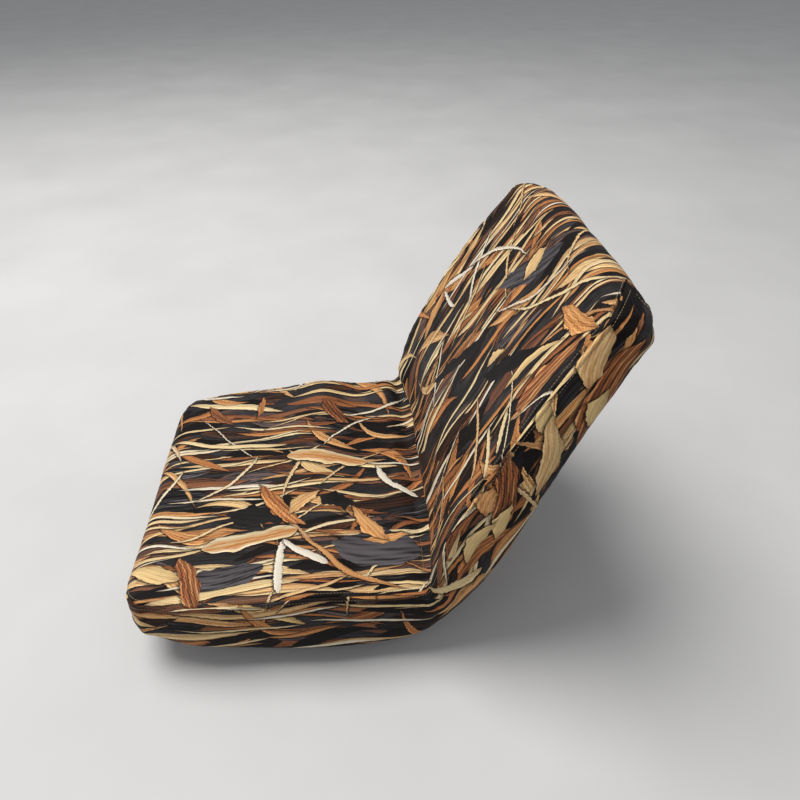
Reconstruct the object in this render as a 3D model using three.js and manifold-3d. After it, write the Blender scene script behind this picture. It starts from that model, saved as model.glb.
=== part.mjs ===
// Padded swivel seat for a hunting blind: a moulded bucket with a seat pad and a back pad, a slip-on
// fabric cover in four panels with an elastic hem, and a stamped ball-bearing swivel underneath.
// Millimetres, +Z up. The origin is on the swivel axis at the underside of the lower swivel plate.
// The front of the seat faces -Y and the sitter's left is +X.
import * as THREE from 'three';
import { mergeVertices } from 'three/addons/utils/BufferGeometryUtils.js';
import Module from 'manifold-3d';

const wasm = await Module();
wasm.setup();

// ---------------------------------------------------------------- driving dimensions
// Side view of the covered seat, from the front edge (at = 0) round the fold to the top (at = 1).
// seam: where the sitting face meets the side, rim: where the side meets the underside (y, z).
// half: half width at the seam, dish: how far the middle of the sitting face lies below the seams.
const STATIONS = [
  { at: 0.0, seam: [-225, 117], rim: [-225, 50], half: 206, dish: 2 },
  { at: 0.1, seam: [-170, 119], rim: [-170, 38], half: 218, dish: 5 },
  { at: 0.2, seam: [-90, 123], rim: [-90, 27], half: 221, dish: 9 },
  { at: 0.3, seam: [-10, 131], rim: [-10, 21], half: 225, dish: 14 },
  { at: 0.38, seam: [50, 124], rim: [58, 21], half: 223, dish: 14 },
  { at: 0.45, seam: [100, 124], rim: [110, 33], half: 223, dish: 15 },
  { at: 0.5, seam: [122, 128], rim: [148, 60], half: 223, dish: 24 },
  { at: 0.56, seam: [129, 155], rim: [180, 104], half: 223, dish: 18 },
  { at: 0.64, seam: [143, 215], rim: [216, 175], half: 221, dish: 14 },
  { at: 0.72, seam: [170, 276], rim: [242, 242], half: 218, dish: 12 },
  { at: 0.88, seam: [230, 387], rim: [293, 362], half: 207, dish: 8 },
  { at: 1.0, seam: [287, 472], rim: [343, 446], half: 190, dish: 4 },
];
const CREASE = 0.525; // station of the sewn crease between the seat and the back
const BELLY = 10; // how far the sides bulge past the seams
const RIM_RADIUS = 22; // rounding between the side and the underside
const SIDE_SPLIT = 0.6; // share of the side above that rounding, in units of around
const FRONT_END = { reach: 37, corner: 70, crown: 0 }; // rounded front edge and its plan corners
const TOP_END = { reach: 36, corner: 52, crown: 9 }; // rounded top edge and its corners

const COVER_THICKNESS = 1.2;
const SHELL_OUTSIDE = 2.6; // depth of the shell's outer face below the outside of the cover
const SHELL_WALL = 5;
const FOAM_UNDER_COVER = 2.8;
const FOAM_OVER_SHELL = SHELL_OUTSIDE + SHELL_WALL + 1.2;
const BOSS_HALF_X = 105; // flat boss in the shell that takes the swivel
const BOSS_FRONT = -105;
const BOSS_REAR = 92;
const BOSS_RAMP = 26; // slope from the boss to the shell at its sides and front
const BOSS_REAR_RAMP = 14;
const BOSS_FOAM_GAP = 3.5; // room for the flanges of the threaded inserts
const STATION_STEPS = 24; // grid steps along the whole seat
const HEM_FRONT = 2 / STATION_STEPS; // stations where the cover's underside ends
const HEM_BACK = 11 / STATION_STEPS;
const HEM_AROUND = 2.24; // how far the side panels wrap under the seat
const HEM_RADIUS = 3.6;
const HEM_WALL = 1;
const HEM_CORNER = 40; // plan radius of the hem's corners
const HEM_DROP = 2.6; // centre of the hem below the cover's underside
const HEM_CLEARANCE = 1; // from the cover's lower edge to the hem
const HEM_STEPS = 34;
const ELASTIC_RADIUS = 2;

const PLATE_SIZE = 178;
const PLATE_CORNER = 14;
const SHEET = 3; // steel sheet of the swivel plates
const RACE_RADIUS = 50; // centre line of the ball race
const RIDGE_HEIGHT = 11; // top of the pressed ridge that carries the lower race
const BALL_RADIUS = 4;
const BALL_COUNT = 12;
const BALL_FACETS = [8, 6];
const BALL_HEIGHT = 14; // centres of the balls, half way up the swivel
const SWIVEL_HEIGHT = 2 * BALL_HEIGHT;
const HOLE_SPACING = 127; // square hole pattern of both plates
const BASE_HOLE_RADIUS = 4;
const BOLT_RADIUS = 4;
const PLATE_HOLE_RADIUS = 4.5; // upper plate, round the bolts
const STUD_RADIUS = 8;
const GAP = 0.3; // clearance between touching pieces

const MERGE = 0.008; // grid stations closer than this to an edge are left out
const END_STEPS = 6; // grid steps round an end
const ROUND = 36; // sides of the swivel's large circles
const QUARTER = Math.PI / 2;
const FIRST_TURN = QUARTER / END_STEPS;
const NOSE_TURN = QUARTER - FIRST_TURN;
const LAST_TURN = QUARTER * 0.97;

// A function that makes a material of its own for each mesh.
function finish(color, roughness, metalness = 0) {
  return () => new THREE.MeshStandardMaterial({ color, roughness, metalness });
}

const coverMaterial = finish(0x8a6234, 0.75);
const hemMaterial = finish(0x2a241d, 0.85);
const foamMaterial = finish(0xcdb98c, 0.95);
const shellMaterial = finish(0x1c1d1f, 0.55);
const plateMaterial = finish(0x24262a, 0.4, 0.7);
const zincMaterial = finish(0xb9bcc0, 0.35, 0.9);
const ballMaterial = finish(0xd6d8da, 0.15, 1);

const group = new THREE.Group();

// ---------------------------------------------------------------- helpers
const lerp = THREE.MathUtils.lerp;
const smoothstep = THREE.MathUtils.smoothstep;

function add(name, geometry, material) {
  const mesh = new THREE.Mesh(geometry, material);
  mesh.name = name;
  group.add(mesh);
  return mesh;
}

function toSolid(geometry) {
  const bare = geometry.clone();
  bare.deleteAttribute('normal');
  bare.deleteAttribute('uv');
  const merged = mergeVertices(bare, 1e-4);
  const vertProperties = new Float32Array(merged.attributes.position.array);
  const triVerts = new Uint32Array(merged.index.array);
  return new wasm.Manifold(new wasm.Mesh({ numProp: 3, vertProperties, triVerts }));
}

function toGeometry(solid) {
  const mesh = solid.getMesh();
  const geometry = new THREE.BufferGeometry();
  geometry.setAttribute('position', new THREE.BufferAttribute(new Float32Array(mesh.vertProperties), 3));
  geometry.setIndex(new THREE.BufferAttribute(new Uint32Array(mesh.triVerts), 1));
  geometry.computeVertexNormals();
  return geometry;
}

function fromTriangles(points, triangles) {
  const geometry = new THREE.BufferGeometry();
  geometry.setAttribute('position', new THREE.Float32BufferAttribute(points.flat(), 3));
  geometry.setIndex(triangles.flat());
  geometry.computeVertexNormals();
  return geometry;
}

// An upright cylinder from z = low to z = high.
function drum(radius, low, high, sides = 40, x = 0, y = 0) {
  const geometry = new THREE.CylinderGeometry(radius, radius, high - low, sides);
  geometry.rotateX(QUARTER);
  geometry.translate(x, y, (low + high) / 2);
  return geometry;
}

// An upright ring between two radii.
function ring(inner, outer, low, high, sides = 40) {
  const profile = [[inner, low], [outer, low], [outer, high], [inner, high], [inner, low]];
  return turned(profile, sides);
}

// A profile of (radius, z) pairs turned about the Z axis.
function turned(profile, sides = 64) {
  const points = profile.map(([radius, z]) => new THREE.Vector2(radius, z));
  const geometry = new THREE.LatheGeometry(points, sides);
  geometry.rotateX(QUARTER);
  return geometry;
}

function hexPrism(acrossFlats, low, high, x = 0, y = 0) {
  return drum(acrossFlats / Math.sqrt(3), low, high, 6, x, y);
}

function squareCorners(spacing) {
  const half = spacing / 2;
  return [[-half, -half], [half, -half], [half, half], [-half, half]];
}

// ---------------------------------------------------------------- the covered seat's surface
// Smooth interpolation of one number of the stations, with the slope taken from the neighbours.
function interpolate(at, read) {
  const last = STATIONS.length - 1;
  let i = 0;
  while (i < last - 1 && STATIONS[i + 1].at < at) i += 1;
  const slope = (k) => {
    const before = STATIONS[Math.max(k - 1, 0)];
    const after = STATIONS[Math.min(k + 1, last)];
    return (read(after) - read(before)) / (after.at - before.at);
  };
  const span = STATIONS[i + 1].at - STATIONS[i].at;
  const t = (at - STATIONS[i].at) / span;
  const rise = (3 - 2 * t) * t * t;
  const easeIn = t * (1 - t) * (1 - t);
  const easeOut = t * t * (t - 1);
  return lerp(read(STATIONS[i]), read(STATIONS[i + 1]), rise)
    + span * (easeIn * slope(i) + easeOut * slope(i + 1));
}

function stationAt(at) {
  return {
    seam: new THREE.Vector2(interpolate(at, (s) => s.seam[0]), interpolate(at, (s) => s.seam[1])),
    rim: new THREE.Vector2(interpolate(at, (s) => s.rim[0]), interpolate(at, (s) => s.rim[1])),
    half: interpolate(at, (s) => s.half),
    dish: interpolate(at, (s) => s.dish),
  };
}

// One point of the seat's surface, or of a surface sunk below it by depth.
// at: station, turn: angle round the front end (at = 0) or the top end (at = 1),
// around: 0 mid sitting face, 1 seam, 2 rim, 3 mid underside, negative on the sitter's right.
// endDepth: how far the rounded ends are sunk, where it isn't the same as depth.
function surfacePoint(at, turn, around, depth, endDepth = depth) {
  const { seam, rim, half, dish } = stationAt(at);
  const end = at < 0.5 ? FRONT_END : TOP_END;
  const thickness = seam.distanceTo(rim);
  const outward = seam.clone().sub(rim).divideScalar(thickness);
  const middle = seam.clone().add(rim).multiplyScalar(0.5);
  const halfThickness = thickness / 2;
  const squash = Math.cos(turn);
  const meanHalf = half + (BELLY - RIM_RADIUS) / 2;
  const cornerCut = end.corner * (1 - Math.cos(turn));
  const widthOf = (edge) => meanHalf + (edge - meanHalf) * squash - cornerCut - depth;
  const side = Math.abs(around);
  let x;
  let height; // from the mid surface towards the sitter
  if (side <= 1) {
    x = side * widthOf(half);
    height = halfThickness - depth - dish * (1 - side ** 4);
  } else if (side <= 2) {
    const t = side - 1;
    if (t < SIDE_SPLIT) {
      const q = t / SIDE_SPLIT;
      x = lerp(widthOf(half), widthOf(half + BELLY), Math.sin(q * QUARTER));
      height = lerp(halfThickness - depth, RIM_RADIUS - halfThickness, q);
    } else {
      const q = ((t - SIDE_SPLIT) / (1 - SIDE_SPLIT)) * QUARTER;
      x = lerp(widthOf(half + BELLY - RIM_RADIUS), widthOf(half + BELLY), Math.cos(q));
      height = RIM_RADIUS - halfThickness - (RIM_RADIUS - depth) * Math.sin(q);
    }
  } else {
    x = (3 - side) * widthOf(half + BELLY - RIM_RADIUS);
    height = depth - halfThickness;
  }
  const along = at < 0.5 ? new THREE.Vector2(-1, 0) : new THREE.Vector2(outward.y, -outward.x);
  const crownDrop = end.crown * Math.sin(turn) * (x / half) ** 2;
  const advance = (end.reach - endDepth) * Math.sin(turn) - crownDrop;
  const point = middle.addScaledVector(outward, height * squash).addScaledVector(along, advance);
  return [around < 0 ? -x : x, point.x, point.y];
}

// How strongly a point belongs to the flat boss over the swivel, 0 to 1.
function bossShare(x, y) {
  const lateral = 1 - smoothstep(Math.abs(x), BOSS_HALF_X, BOSS_HALF_X + BOSS_RAMP);
  const rear = 1 - smoothstep(y, BOSS_REAR, BOSS_REAR + BOSS_REAR_RAMP);
  const front = smoothstep(y, BOSS_FRONT - BOSS_RAMP, BOSS_FRONT);
  return lateral * rear * front;
}

function flattenBoss([x, y, z], level) {
  return [x, y, lerp(z, level, bossShare(x, y))];
}

// Evenly spaced values from first to last, both included.
function steps(first, last, count) {
  return Array.from({ length: count + 1 }, (_, i) => lerp(first, last, i / count));
}

// Stations from one place to another as [at, turn] pairs, on one shared grid of stations.
function run(fromAt, toAt) {
  const low = Math.min(fromAt, toAt);
  const high = Math.max(fromAt, toAt);
  const inner = steps(0, 1, STATION_STEPS).filter((at) => at > low + MERGE && at < high - MERGE);
  const list = [low, ...inner, high];
  return (fromAt < toAt ? list : list.reverse()).map((at) => [at, 0]);
}

function turnRun(at, fromTurn, toTurn, count) {
  return steps(fromTurn, toTurn, count).map((turn) => [at, turn]);
}

// A closed solid through rings of equal point count, with both ends closed by fans.
function loft(rings) {
  const points = rings.flat();
  const count = rings[0].length;
  const triangles = [];
  for (let r = 0; r < rings.length - 1; r += 1) {
    for (let i = 0; i < count; i += 1) {
      const a = r * count + i;
      const b = r * count + ((i + 1) % count);
      triangles.push([a, b, b + count], [a, b + count, a + count]);
    }
  }
  const closeEnd = (start, flip) => {
    const own = points.slice(start, start + count);
    const centre = [0, 1, 2].map((k) => own.reduce((sum, p) => sum + p[k], 0) / count);
    const hub = points.push(centre) - 1;
    for (let i = 0; i < count; i += 1) {
      const a = start + i;
      const b = start + ((i + 1) % count);
      triangles.push(flip ? [hub, b, a] : [hub, a, b]);
    }
  };
  const lastStart = (rings.length - 1) * count;
  closeEnd(0, true);
  closeEnd(lastStart, false);
  return fromTriangles(points, triangles);
}

// A closed sheet between two grids of points of the same size: outside and inside.
function sheet(outside, inside) {
  const rows = outside.length;
  const columns = outside[0].length;
  const points = [...outside.flat(), ...inside.flat()];
  const offset = rows * columns;
  const id = (r, c) => r * columns + c;
  const triangles = [];
  const quad = (a, b, c, d) => triangles.push([a, b, c], [a, c, d]);
  for (let r = 0; r < rows - 1; r += 1) {
    for (let c = 0; c < columns - 1; c += 1) {
      quad(id(r, c), id(r, c + 1), id(r + 1, c + 1), id(r + 1, c));
      quad(offset + id(r, c), offset + id(r + 1, c), offset + id(r + 1, c + 1), offset + id(r, c + 1));
    }
  }
  for (let c = 0; c < columns - 1; c += 1) {
    quad(id(0, c + 1), id(0, c), offset + id(0, c), offset + id(0, c + 1));
    const r = rows - 1;
    quad(id(r, c), id(r, c + 1), offset + id(r, c + 1), offset + id(r, c));
  }
  for (let r = 0; r < rows - 1; r += 1) {
    quad(id(r, 0), id(r + 1, 0), offset + id(r + 1, 0), offset + id(r, 0));
    const c = columns - 1;
    quad(id(r + 1, c), id(r, c), offset + id(r, c), offset + id(r + 1, c));
  }
  return fromTriangles(points, triangles);
}

// ---------------------------------------------------------------- pads
const UNDER_AROUND = [2, 2.2, 2.35, 2.5, 2.75];
const SIDE_AROUND = [1.4, 1.6, 1.8];
const FOAM_BOSS_LEVEL = SWIVEL_HEIGHT + SHELL_WALL + BOSS_FOAM_GAP;
const EDGE_OF_PAD = [1.12, 1.3]; // where the pad's depth changes from the cover's to the shell's
const FOAM_AROUND = [0, 0.3, 0.6, 0.85, 1, ...EDGE_OF_PAD, ...SIDE_AROUND, ...UNDER_AROUND, 3];
const CREASE_HALF_GAP = 0.004; // in stations

function foamDepth(around) {
  return lerp(FOAM_UNDER_COVER, FOAM_OVER_SHELL, smoothstep(around, ...EDGE_OF_PAD));
}

// Half of a ring through a pad, from the middle of the sitting face to the middle of the underside.
function foamHalfRing(at, turn, sign) {
  return FOAM_AROUND.map((around) => {
    const point = surfacePoint(at, turn, sign * around, foamDepth(around), FOAM_UNDER_COVER);
    return around < 2 ? point : flattenBoss(point, FOAM_BOSS_LEVEL);
  });
}

function foamRing([at, turn]) {
  const left = foamHalfRing(at, turn, 1);
  const right = foamHalfRing(at, turn, -1);
  return [...left, ...right.slice(1, -1).reverse()];
}

const seatFoamPath = [
  ...turnRun(0, NOSE_TURN, FIRST_TURN, END_STEPS - 2),
  ...run(0, CREASE - CREASE_HALF_GAP),
];
const backFoamPath = [
  ...run(CREASE + CREASE_HALF_GAP, 1),
  ...turnRun(1, FIRST_TURN, NOSE_TURN, END_STEPS - 2),
];
add('seat_foam', loft(seatFoamPath.map(foamRing)), foamMaterial());
add('back_foam', loft(backFoamPath.map(foamRing)), foamMaterial());

// ---------------------------------------------------------------- moulded shell
const SHELL_END_TURN = 3 * FIRST_TURN;
const SHELL_HALF_AROUND = [...SIDE_AROUND, ...UNDER_AROUND];
const SHELL_AROUND = [
  ...SHELL_HALF_AROUND,
  3,
  ...SHELL_HALF_AROUND.slice().reverse().map((around) => -around),
];
const shellPath = [
  ...turnRun(0, SHELL_END_TURN, FIRST_TURN, 2),
  ...run(0, 1),
  ...turnRun(1, FIRST_TURN, SHELL_END_TURN, 2),
];

function shellGrid(depth, bossLevel) {
  return shellPath.map(([at, turn]) => SHELL_AROUND.map((around) => {
    const point = surfacePoint(at, turn, around, depth, SHELL_OUTSIDE);
    return Math.abs(around) < 2 ? point : flattenBoss(point, bossLevel);
  }));
}

// The solid with a hole through it at each corner of the square hole pattern.
function boltHoles(solid, radius) {
  return squareCorners(HOLE_SPACING).reduce(
    (body, [x, y]) => body.subtract(toSolid(drum(radius, -SWIVEL_HEIGHT, 2 * SWIVEL_HEIGHT, 16, x, y))),
    solid,
  );
}

const BOSS_LEVEL = SWIVEL_HEIGHT + GAP;
const INSERT_BARREL = 5.2; // radius of the threaded inserts' barrels
const shellOutside = shellGrid(SHELL_OUTSIDE, BOSS_LEVEL);
const shellInside = shellGrid(SHELL_OUTSIDE + SHELL_WALL, BOSS_LEVEL + SHELL_WALL);
const shellBlank = toSolid(sheet(shellOutside, shellInside));
const shell = boltHoles(shellBlank, INSERT_BARREL + GAP);
add('seat_shell', toGeometry(shell), shellMaterial());

// ---------------------------------------------------------------- cover
const SEAM_HALF_GAP = 0.006; // half the slit left at each seam, in units of around
const FACE_SPREAD = [-1, -0.85, -0.6, -0.3, 0, 0.3, 0.6, 0.85, 1].map((c) => c * (1 - SEAM_HALF_GAP));

// Across the sitting face (front side) or the underside (back side), from right to left.
function facePoint(at, turn, across, under, depth) {
  const around = under ? Math.sign(across || 1) * (3 - Math.abs(across)) : across;
  return surfacePoint(at, turn, around, depth);
}

function panelGrid(path, depth) {
  return path.map(([at, turn, under]) => FACE_SPREAD.map((c) => facePoint(at, turn, c, under, depth)));
}

function coverPanel(name, path) {
  add(name, sheet(panelGrid(path, 0), panelGrid(path, COVER_THICKNESS)), coverMaterial());
}

const onTop = (pairs) => pairs.map(([at, turn]) => [at, turn, false]);
const underneath = (pairs) => pairs.map(([at, turn]) => [at, turn, true]);
const CREASE_SLIT = 0.002;

coverPanel('cover_seat_panel', [
  ...underneath(run(HEM_FRONT, 0)),
  ...underneath([...turnRun(0, FIRST_TURN, NOSE_TURN, END_STEPS - 2), [0, LAST_TURN]]),
  ...onTop([[0, LAST_TURN], ...turnRun(0, NOSE_TURN, FIRST_TURN, END_STEPS - 2)]),
  ...onTop(run(0, CREASE - CREASE_SLIT)),
]);
coverPanel('cover_back_panel', [
  ...onTop(run(CREASE + CREASE_SLIT, 1)),
  ...onTop([...turnRun(1, FIRST_TURN, NOSE_TURN, END_STEPS - 2), [1, LAST_TURN]]),
  ...underneath([[1, LAST_TURN], ...turnRun(1, NOSE_TURN, FIRST_TURN, END_STEPS - 2)]),
  ...underneath(run(1, HEM_BACK)),
]);

// How much of the full wrap under the seat the side panel has: none outside the two hems.
function wrapShare(at) {
  const ramp = 1 / STATION_STEPS;
  const fromFront = smoothstep(at, HEM_FRONT, HEM_FRONT + ramp);
  const fromBack = 1 - smoothstep(at, HEM_BACK - ramp, HEM_BACK);
  return fromFront * fromBack;
}

const sidePath = [
  ...turnRun(0, NOSE_TURN, FIRST_TURN, END_STEPS - 2),
  ...run(0, 1),
  ...turnRun(1, FIRST_TURN, NOSE_TURN, END_STEPS - 2),
];

function sideGrid(sign, depth) {
  const upper = [1 + SEAM_HALF_GAP, 1.15, 1.28, ...SIDE_AROUND];
  return sidePath.map(([at, turn]) => {
    const wrap = wrapShare(at);
    const lower = [lerp(1.95, 2, wrap), lerp(2 - SEAM_HALF_GAP, HEM_AROUND, wrap)];
    return [...upper, ...lower].map((around) => surfacePoint(at, turn, sign * around, depth));
  });
}

add('cover_side_panel_left', sheet(sideGrid(1, 0), sideGrid(1, COVER_THICKNESS)), coverMaterial());
add('cover_side_panel_right', sheet(sideGrid(-1, COVER_THICKNESS), sideGrid(-1, 0)), coverMaterial());

// ---------------------------------------------------------------- hem and its elastic
// The station whose rim lies at a given y on the seat's underside.
function stationAtRim(y) {
  let low = 0;
  let high = 0.5;
  for (let i = 0; i < 20; i += 1) {
    const middle = (low + high) / 2;
    if (stationAt(middle).rim.x < y) low = middle;
    else high = middle;
  }
  return low;
}

// The hem's centre line: a rounded rectangle just inside the edge of the cover's underside.
function hemLine() {
  const clearance = HEM_RADIUS + HEM_CLEARANCE;
  const halfWidth = surfacePoint(HEM_FRONT, 0, HEM_AROUND, 0)[0] - clearance;
  const front = stationAt(HEM_FRONT).rim.x + clearance;
  const rear = stationAt(HEM_BACK).rim.x - clearance;
  const outline = new THREE.Path();
  outline.moveTo(halfWidth, front + HEM_CORNER);
  outline.lineTo(halfWidth, rear - HEM_CORNER);
  outline.absarc(halfWidth - HEM_CORNER, rear - HEM_CORNER, HEM_CORNER, 0, QUARTER);
  outline.lineTo(HEM_CORNER - halfWidth, rear);
  outline.absarc(HEM_CORNER - halfWidth, rear - HEM_CORNER, HEM_CORNER, QUARTER, 2 * QUARTER);
  outline.lineTo(-halfWidth, front + HEM_CORNER);
  outline.absarc(HEM_CORNER - halfWidth, front + HEM_CORNER, HEM_CORNER, 2 * QUARTER, 3 * QUARTER);
  outline.lineTo(halfWidth - HEM_CORNER, front);
  outline.absarc(halfWidth - HEM_CORNER, front + HEM_CORNER, HEM_CORNER, 3 * QUARTER, 4 * QUARTER);
  return outline.getSpacedPoints(HEM_STEPS).slice(0, -1).map(({ x, y }) => {
    const underside = stationAt(stationAtRim(y)).rim.y;
    return new THREE.Vector3(x, y, underside - HEM_DROP);
  });
}

// A closed loop of a section carried along a line: section points are (outward, up) pairs.
function loop(line, section) {
  const count = section.length;
  const points = [];
  const triangles = [];
  line.forEach((centre, i) => {
    const before = line[(i + line.length - 1) % line.length];
    const after = line[(i + 1) % line.length];
    const along = after.clone().sub(before).normalize();
    const outward = new THREE.Vector3(along.y, -along.x, 0).normalize();
    const up = outward.clone().cross(along);
    section.forEach(([a, b]) => {
      points.push(centre.clone().addScaledVector(outward, a).addScaledVector(up, b).toArray());
    });
    const next = (i + 1) % line.length;
    for (let k = 0; k < count; k += 1) {
      const l = (k + 1) % count;
      const [p, q, r, t] = [i * count + k, i * count + l, next * count + l, next * count + k];
      triangles.push([p, r, q], [p, t, r]);
    }
  });
  return fromTriangles(points, triangles);
}

// Points of an arc about the origin, angles in turns.
function arc(radius, from, to, count) {
  return steps(from, to, count).map((turns) => {
    const angle = turns * 4 * QUARTER;
    return [radius * Math.cos(angle), radius * Math.sin(angle)];
  });
}

// The hem is a tube with a slot along its top, drawn as an arc from one lip of the slot to the other.
const HEM_ARC = [0.32, 1.18]; // in turns from the outward side
const hemSection = [
  ...arc(HEM_RADIUS, ...HEM_ARC, 7),
  ...arc(HEM_RADIUS - HEM_WALL, ...HEM_ARC.slice().reverse(), 7),
];
add('cover_hem', loop(hemLine(), hemSection), hemMaterial());
add('hem_elastic', loop(hemLine(), arc(ELASTIC_RADIUS, 0, 5 / 6, 5)), hemMaterial());

// ---------------------------------------------------------------- swivel
// A square plate with rounded corners, low to high, with a round opening in the middle.
function squarePlate(low, high, opening) {
  const half = PLATE_SIZE / 2;
  const inner = half - PLATE_CORNER;
  const outline = new THREE.Shape();
  outline.moveTo(inner, -half);
  outline.absarc(inner, -inner, PLATE_CORNER, 3 * QUARTER, 4 * QUARTER);
  outline.absarc(inner, inner, PLATE_CORNER, 0, QUARTER);
  outline.absarc(-inner, inner, PLATE_CORNER, QUARTER, 2 * QUARTER);
  outline.absarc(-inner, -inner, PLATE_CORNER, 2 * QUARTER, 3 * QUARTER);
  const settings = { depth: high - low, bevelEnabled: false, curveSegments: 6 };
  const blank = new THREE.ExtrudeGeometry(outline, settings);
  blank.translate(0, 0, low);
  return toSolid(blank).subtract(toSolid(drum(opening, low - 1, high + 1, ROUND)));
}

const GROOVE_STEPS = 4;

// The race groove in a ridge, as (radius, z) points from the outside in, for the lower plate.
function grooveProfile() {
  const radius = BALL_RADIUS + GAP;
  const drop = BALL_HEIGHT - RIDGE_HEIGHT;
  const half = Math.asin(Math.sqrt(radius ** 2 - drop ** 2) / radius);
  return steps(half, -half, GROOVE_STEPS).map((angle) => [
    RACE_RADIUS + radius * Math.sin(angle),
    BALL_HEIGHT - radius * Math.cos(angle),
  ]);
}

const OPENING = 68; // radius where the pressed centre meets the flat plate
const RIDGE_FOOT = 16; // radial distance from the race to the foot of the ridge
const RIDGE_TOP = 8; // radial distance from the race to the edge of the ridge's top
const RIDGE_WALL = 4;
const PRESSING_EDGE = OPENING + 3; // the turned centre overlaps the flat plate up to here
const FLANK = 1.5; // radial offset between the two faces of a ridge's sloping wall

// Radii of the foot and of the top edge of the ridge, inside (-1) or outside (1) the race.
function ridge(side) {
  return { foot: RACE_RADIUS + side * RIDGE_FOOT, top: RACE_RADIUS + side * RIDGE_TOP };
}

// Both plates share the pressed ridge; the lower plate's centre is flat on the ground plane.
function lowerPressing() {
  const inside = ridge(-1);
  const outside = ridge(1);
  return turned([
    [0, 0], [inside.foot, 0], [inside.top, RIDGE_HEIGHT - RIDGE_WALL],
    [outside.top, RIDGE_HEIGHT - RIDGE_WALL], [outside.foot, 0], [PRESSING_EDGE, 0],
    [PRESSING_EDGE, SHEET], [outside.foot + FLANK, SHEET], [outside.top + FLANK, RIDGE_HEIGHT],
    ...grooveProfile(),
    [inside.top - FLANK, RIDGE_HEIGHT], [inside.foot - FLANK, SHEET], [0, SHEET],
  ], ROUND);
}

const UPPER_CENTRE = 12; // underside of the upper plate's sunken centre

function upperPressing() {
  const inside = ridge(-1);
  const outside = ridge(1);
  const flip = (z) => SWIVEL_HEIGHT - z;
  const hole = STUD_RADIUS + GAP;
  const centreTop = UPPER_CENTRE + SHEET;
  return turned([
    [hole, UPPER_CENTRE], [inside.foot, UPPER_CENTRE], [inside.top, flip(RIDGE_HEIGHT)],
    ...grooveProfile().reverse().map(([r, z]) => [r, flip(z)]),
    [outside.top + FLANK, flip(RIDGE_HEIGHT)], [outside.foot + FLANK, flip(SHEET)],
    [PRESSING_EDGE, flip(SHEET)], [PRESSING_EDGE, flip(0)],
    [outside.foot, flip(0)], [outside.top, flip(RIDGE_HEIGHT - RIDGE_WALL)],
    [inside.top, flip(RIDGE_HEIGHT - RIDGE_WALL)], [inside.foot - FLANK, centreTop],
    [hole, centreTop], [hole, UPPER_CENTRE],
  ], ROUND);
}

const lowerBlank = squarePlate(0, SHEET, OPENING).add(toSolid(lowerPressing()));
const upperBlank = squarePlate(SWIVEL_HEIGHT - SHEET, SWIVEL_HEIGHT, OPENING).add(toSolid(upperPressing()));
add('swivel_lower_plate', toGeometry(boltHoles(lowerBlank, BASE_HOLE_RADIUS)), plateMaterial());
add('swivel_upper_plate', toGeometry(boltHoles(upperBlank, PLATE_HOLE_RADIUS)), plateMaterial());

// Stud with a shoulder under the upper plate, then its washer and lock nut inside the sunken centre.
const STUD_WASHER_THICKNESS = 2;
const LOCK_NUT_HEIGHT = 8;
const WASHER_LOW = UPPER_CENTRE + SHEET + GAP;
const WASHER_HIGH = WASHER_LOW + STUD_WASHER_THICKNESS;
const NUT_LOW = WASHER_HIGH + GAP;
const NUT_HIGH = NUT_LOW + LOCK_NUT_HEIGHT;
const SHOULDER_RADIUS = 13;
const STUD_WASHER_RADIUS = 15;
const LOCK_NUT_FLATS = 24; // across flats
const STUD_CHAMFER = 1;
add('swivel_stud', turned([
  [0, SHEET + GAP], [SHOULDER_RADIUS, SHEET + GAP], [SHOULDER_RADIUS, UPPER_CENTRE - GAP],
  [STUD_RADIUS, UPPER_CENTRE - GAP], [STUD_RADIUS, NUT_HIGH],
  [STUD_RADIUS - STUD_CHAMFER, NUT_HIGH + STUD_CHAMFER], [0, NUT_HIGH + STUD_CHAMFER],
], 24), zincMaterial());
const studWasher = ring(STUD_RADIUS + GAP, STUD_WASHER_RADIUS, WASHER_LOW, WASHER_HIGH, 24);
add('stud_washer', studWasher, zincMaterial());
const nutBlank = toSolid(hexPrism(LOCK_NUT_FLATS, NUT_LOW, NUT_HIGH));
const nut = nutBlank.subtract(toSolid(drum(STUD_RADIUS + GAP, NUT_LOW - 1, NUT_HIGH + 1, 24)));
add('stud_lock_nut', toGeometry(nut), zincMaterial());

// Balls in their retainer.
const ballPlaces = Array.from({ length: BALL_COUNT }, (_, i) => {
  const angle = (i * 4 * QUARTER) / BALL_COUNT;
  return [RACE_RADIUS * Math.cos(angle), RACE_RADIUS * Math.sin(angle)];
});
const RETAINER_HALF_WIDTH = 6;
const RETAINER_HALF_THICKNESS = 0.8;
const retainerBlank = toSolid(ring(
  RACE_RADIUS - RETAINER_HALF_WIDTH,
  RACE_RADIUS + RETAINER_HALF_WIDTH,
  BALL_HEIGHT - RETAINER_HALF_THICKNESS,
  BALL_HEIGHT + RETAINER_HALF_THICKNESS,
  ROUND,
));
const retainer = ballPlaces.reduce(
  (body, [x, y]) => body.subtract(toSolid(drum(BALL_RADIUS + GAP, 0, SWIVEL_HEIGHT, 12, x, y))),
  retainerBlank,
);
add('ball_retainer', toGeometry(retainer), zincMaterial());
ballPlaces.forEach(([x, y], i) => {
  const ball = new THREE.SphereGeometry(BALL_RADIUS, ...BALL_FACETS);
  ball.translate(x, y, BALL_HEIGHT);
  add(`bearing_ball_${String(i + 1).padStart(2, '0')}`, ball, ballMaterial());
});

// ---------------------------------------------------------------- bolts, washers and inserts
const PLATE_UNDER = SWIVEL_HEIGHT - SHEET;
const BOLT_STICK_OUT = 2; // of the bolt above the shell's inner face

// A piece of the bolt stack that hangs just under the level above it.
function under(level, thickness) {
  return { low: level - GAP - thickness, high: level - GAP };
}

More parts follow.
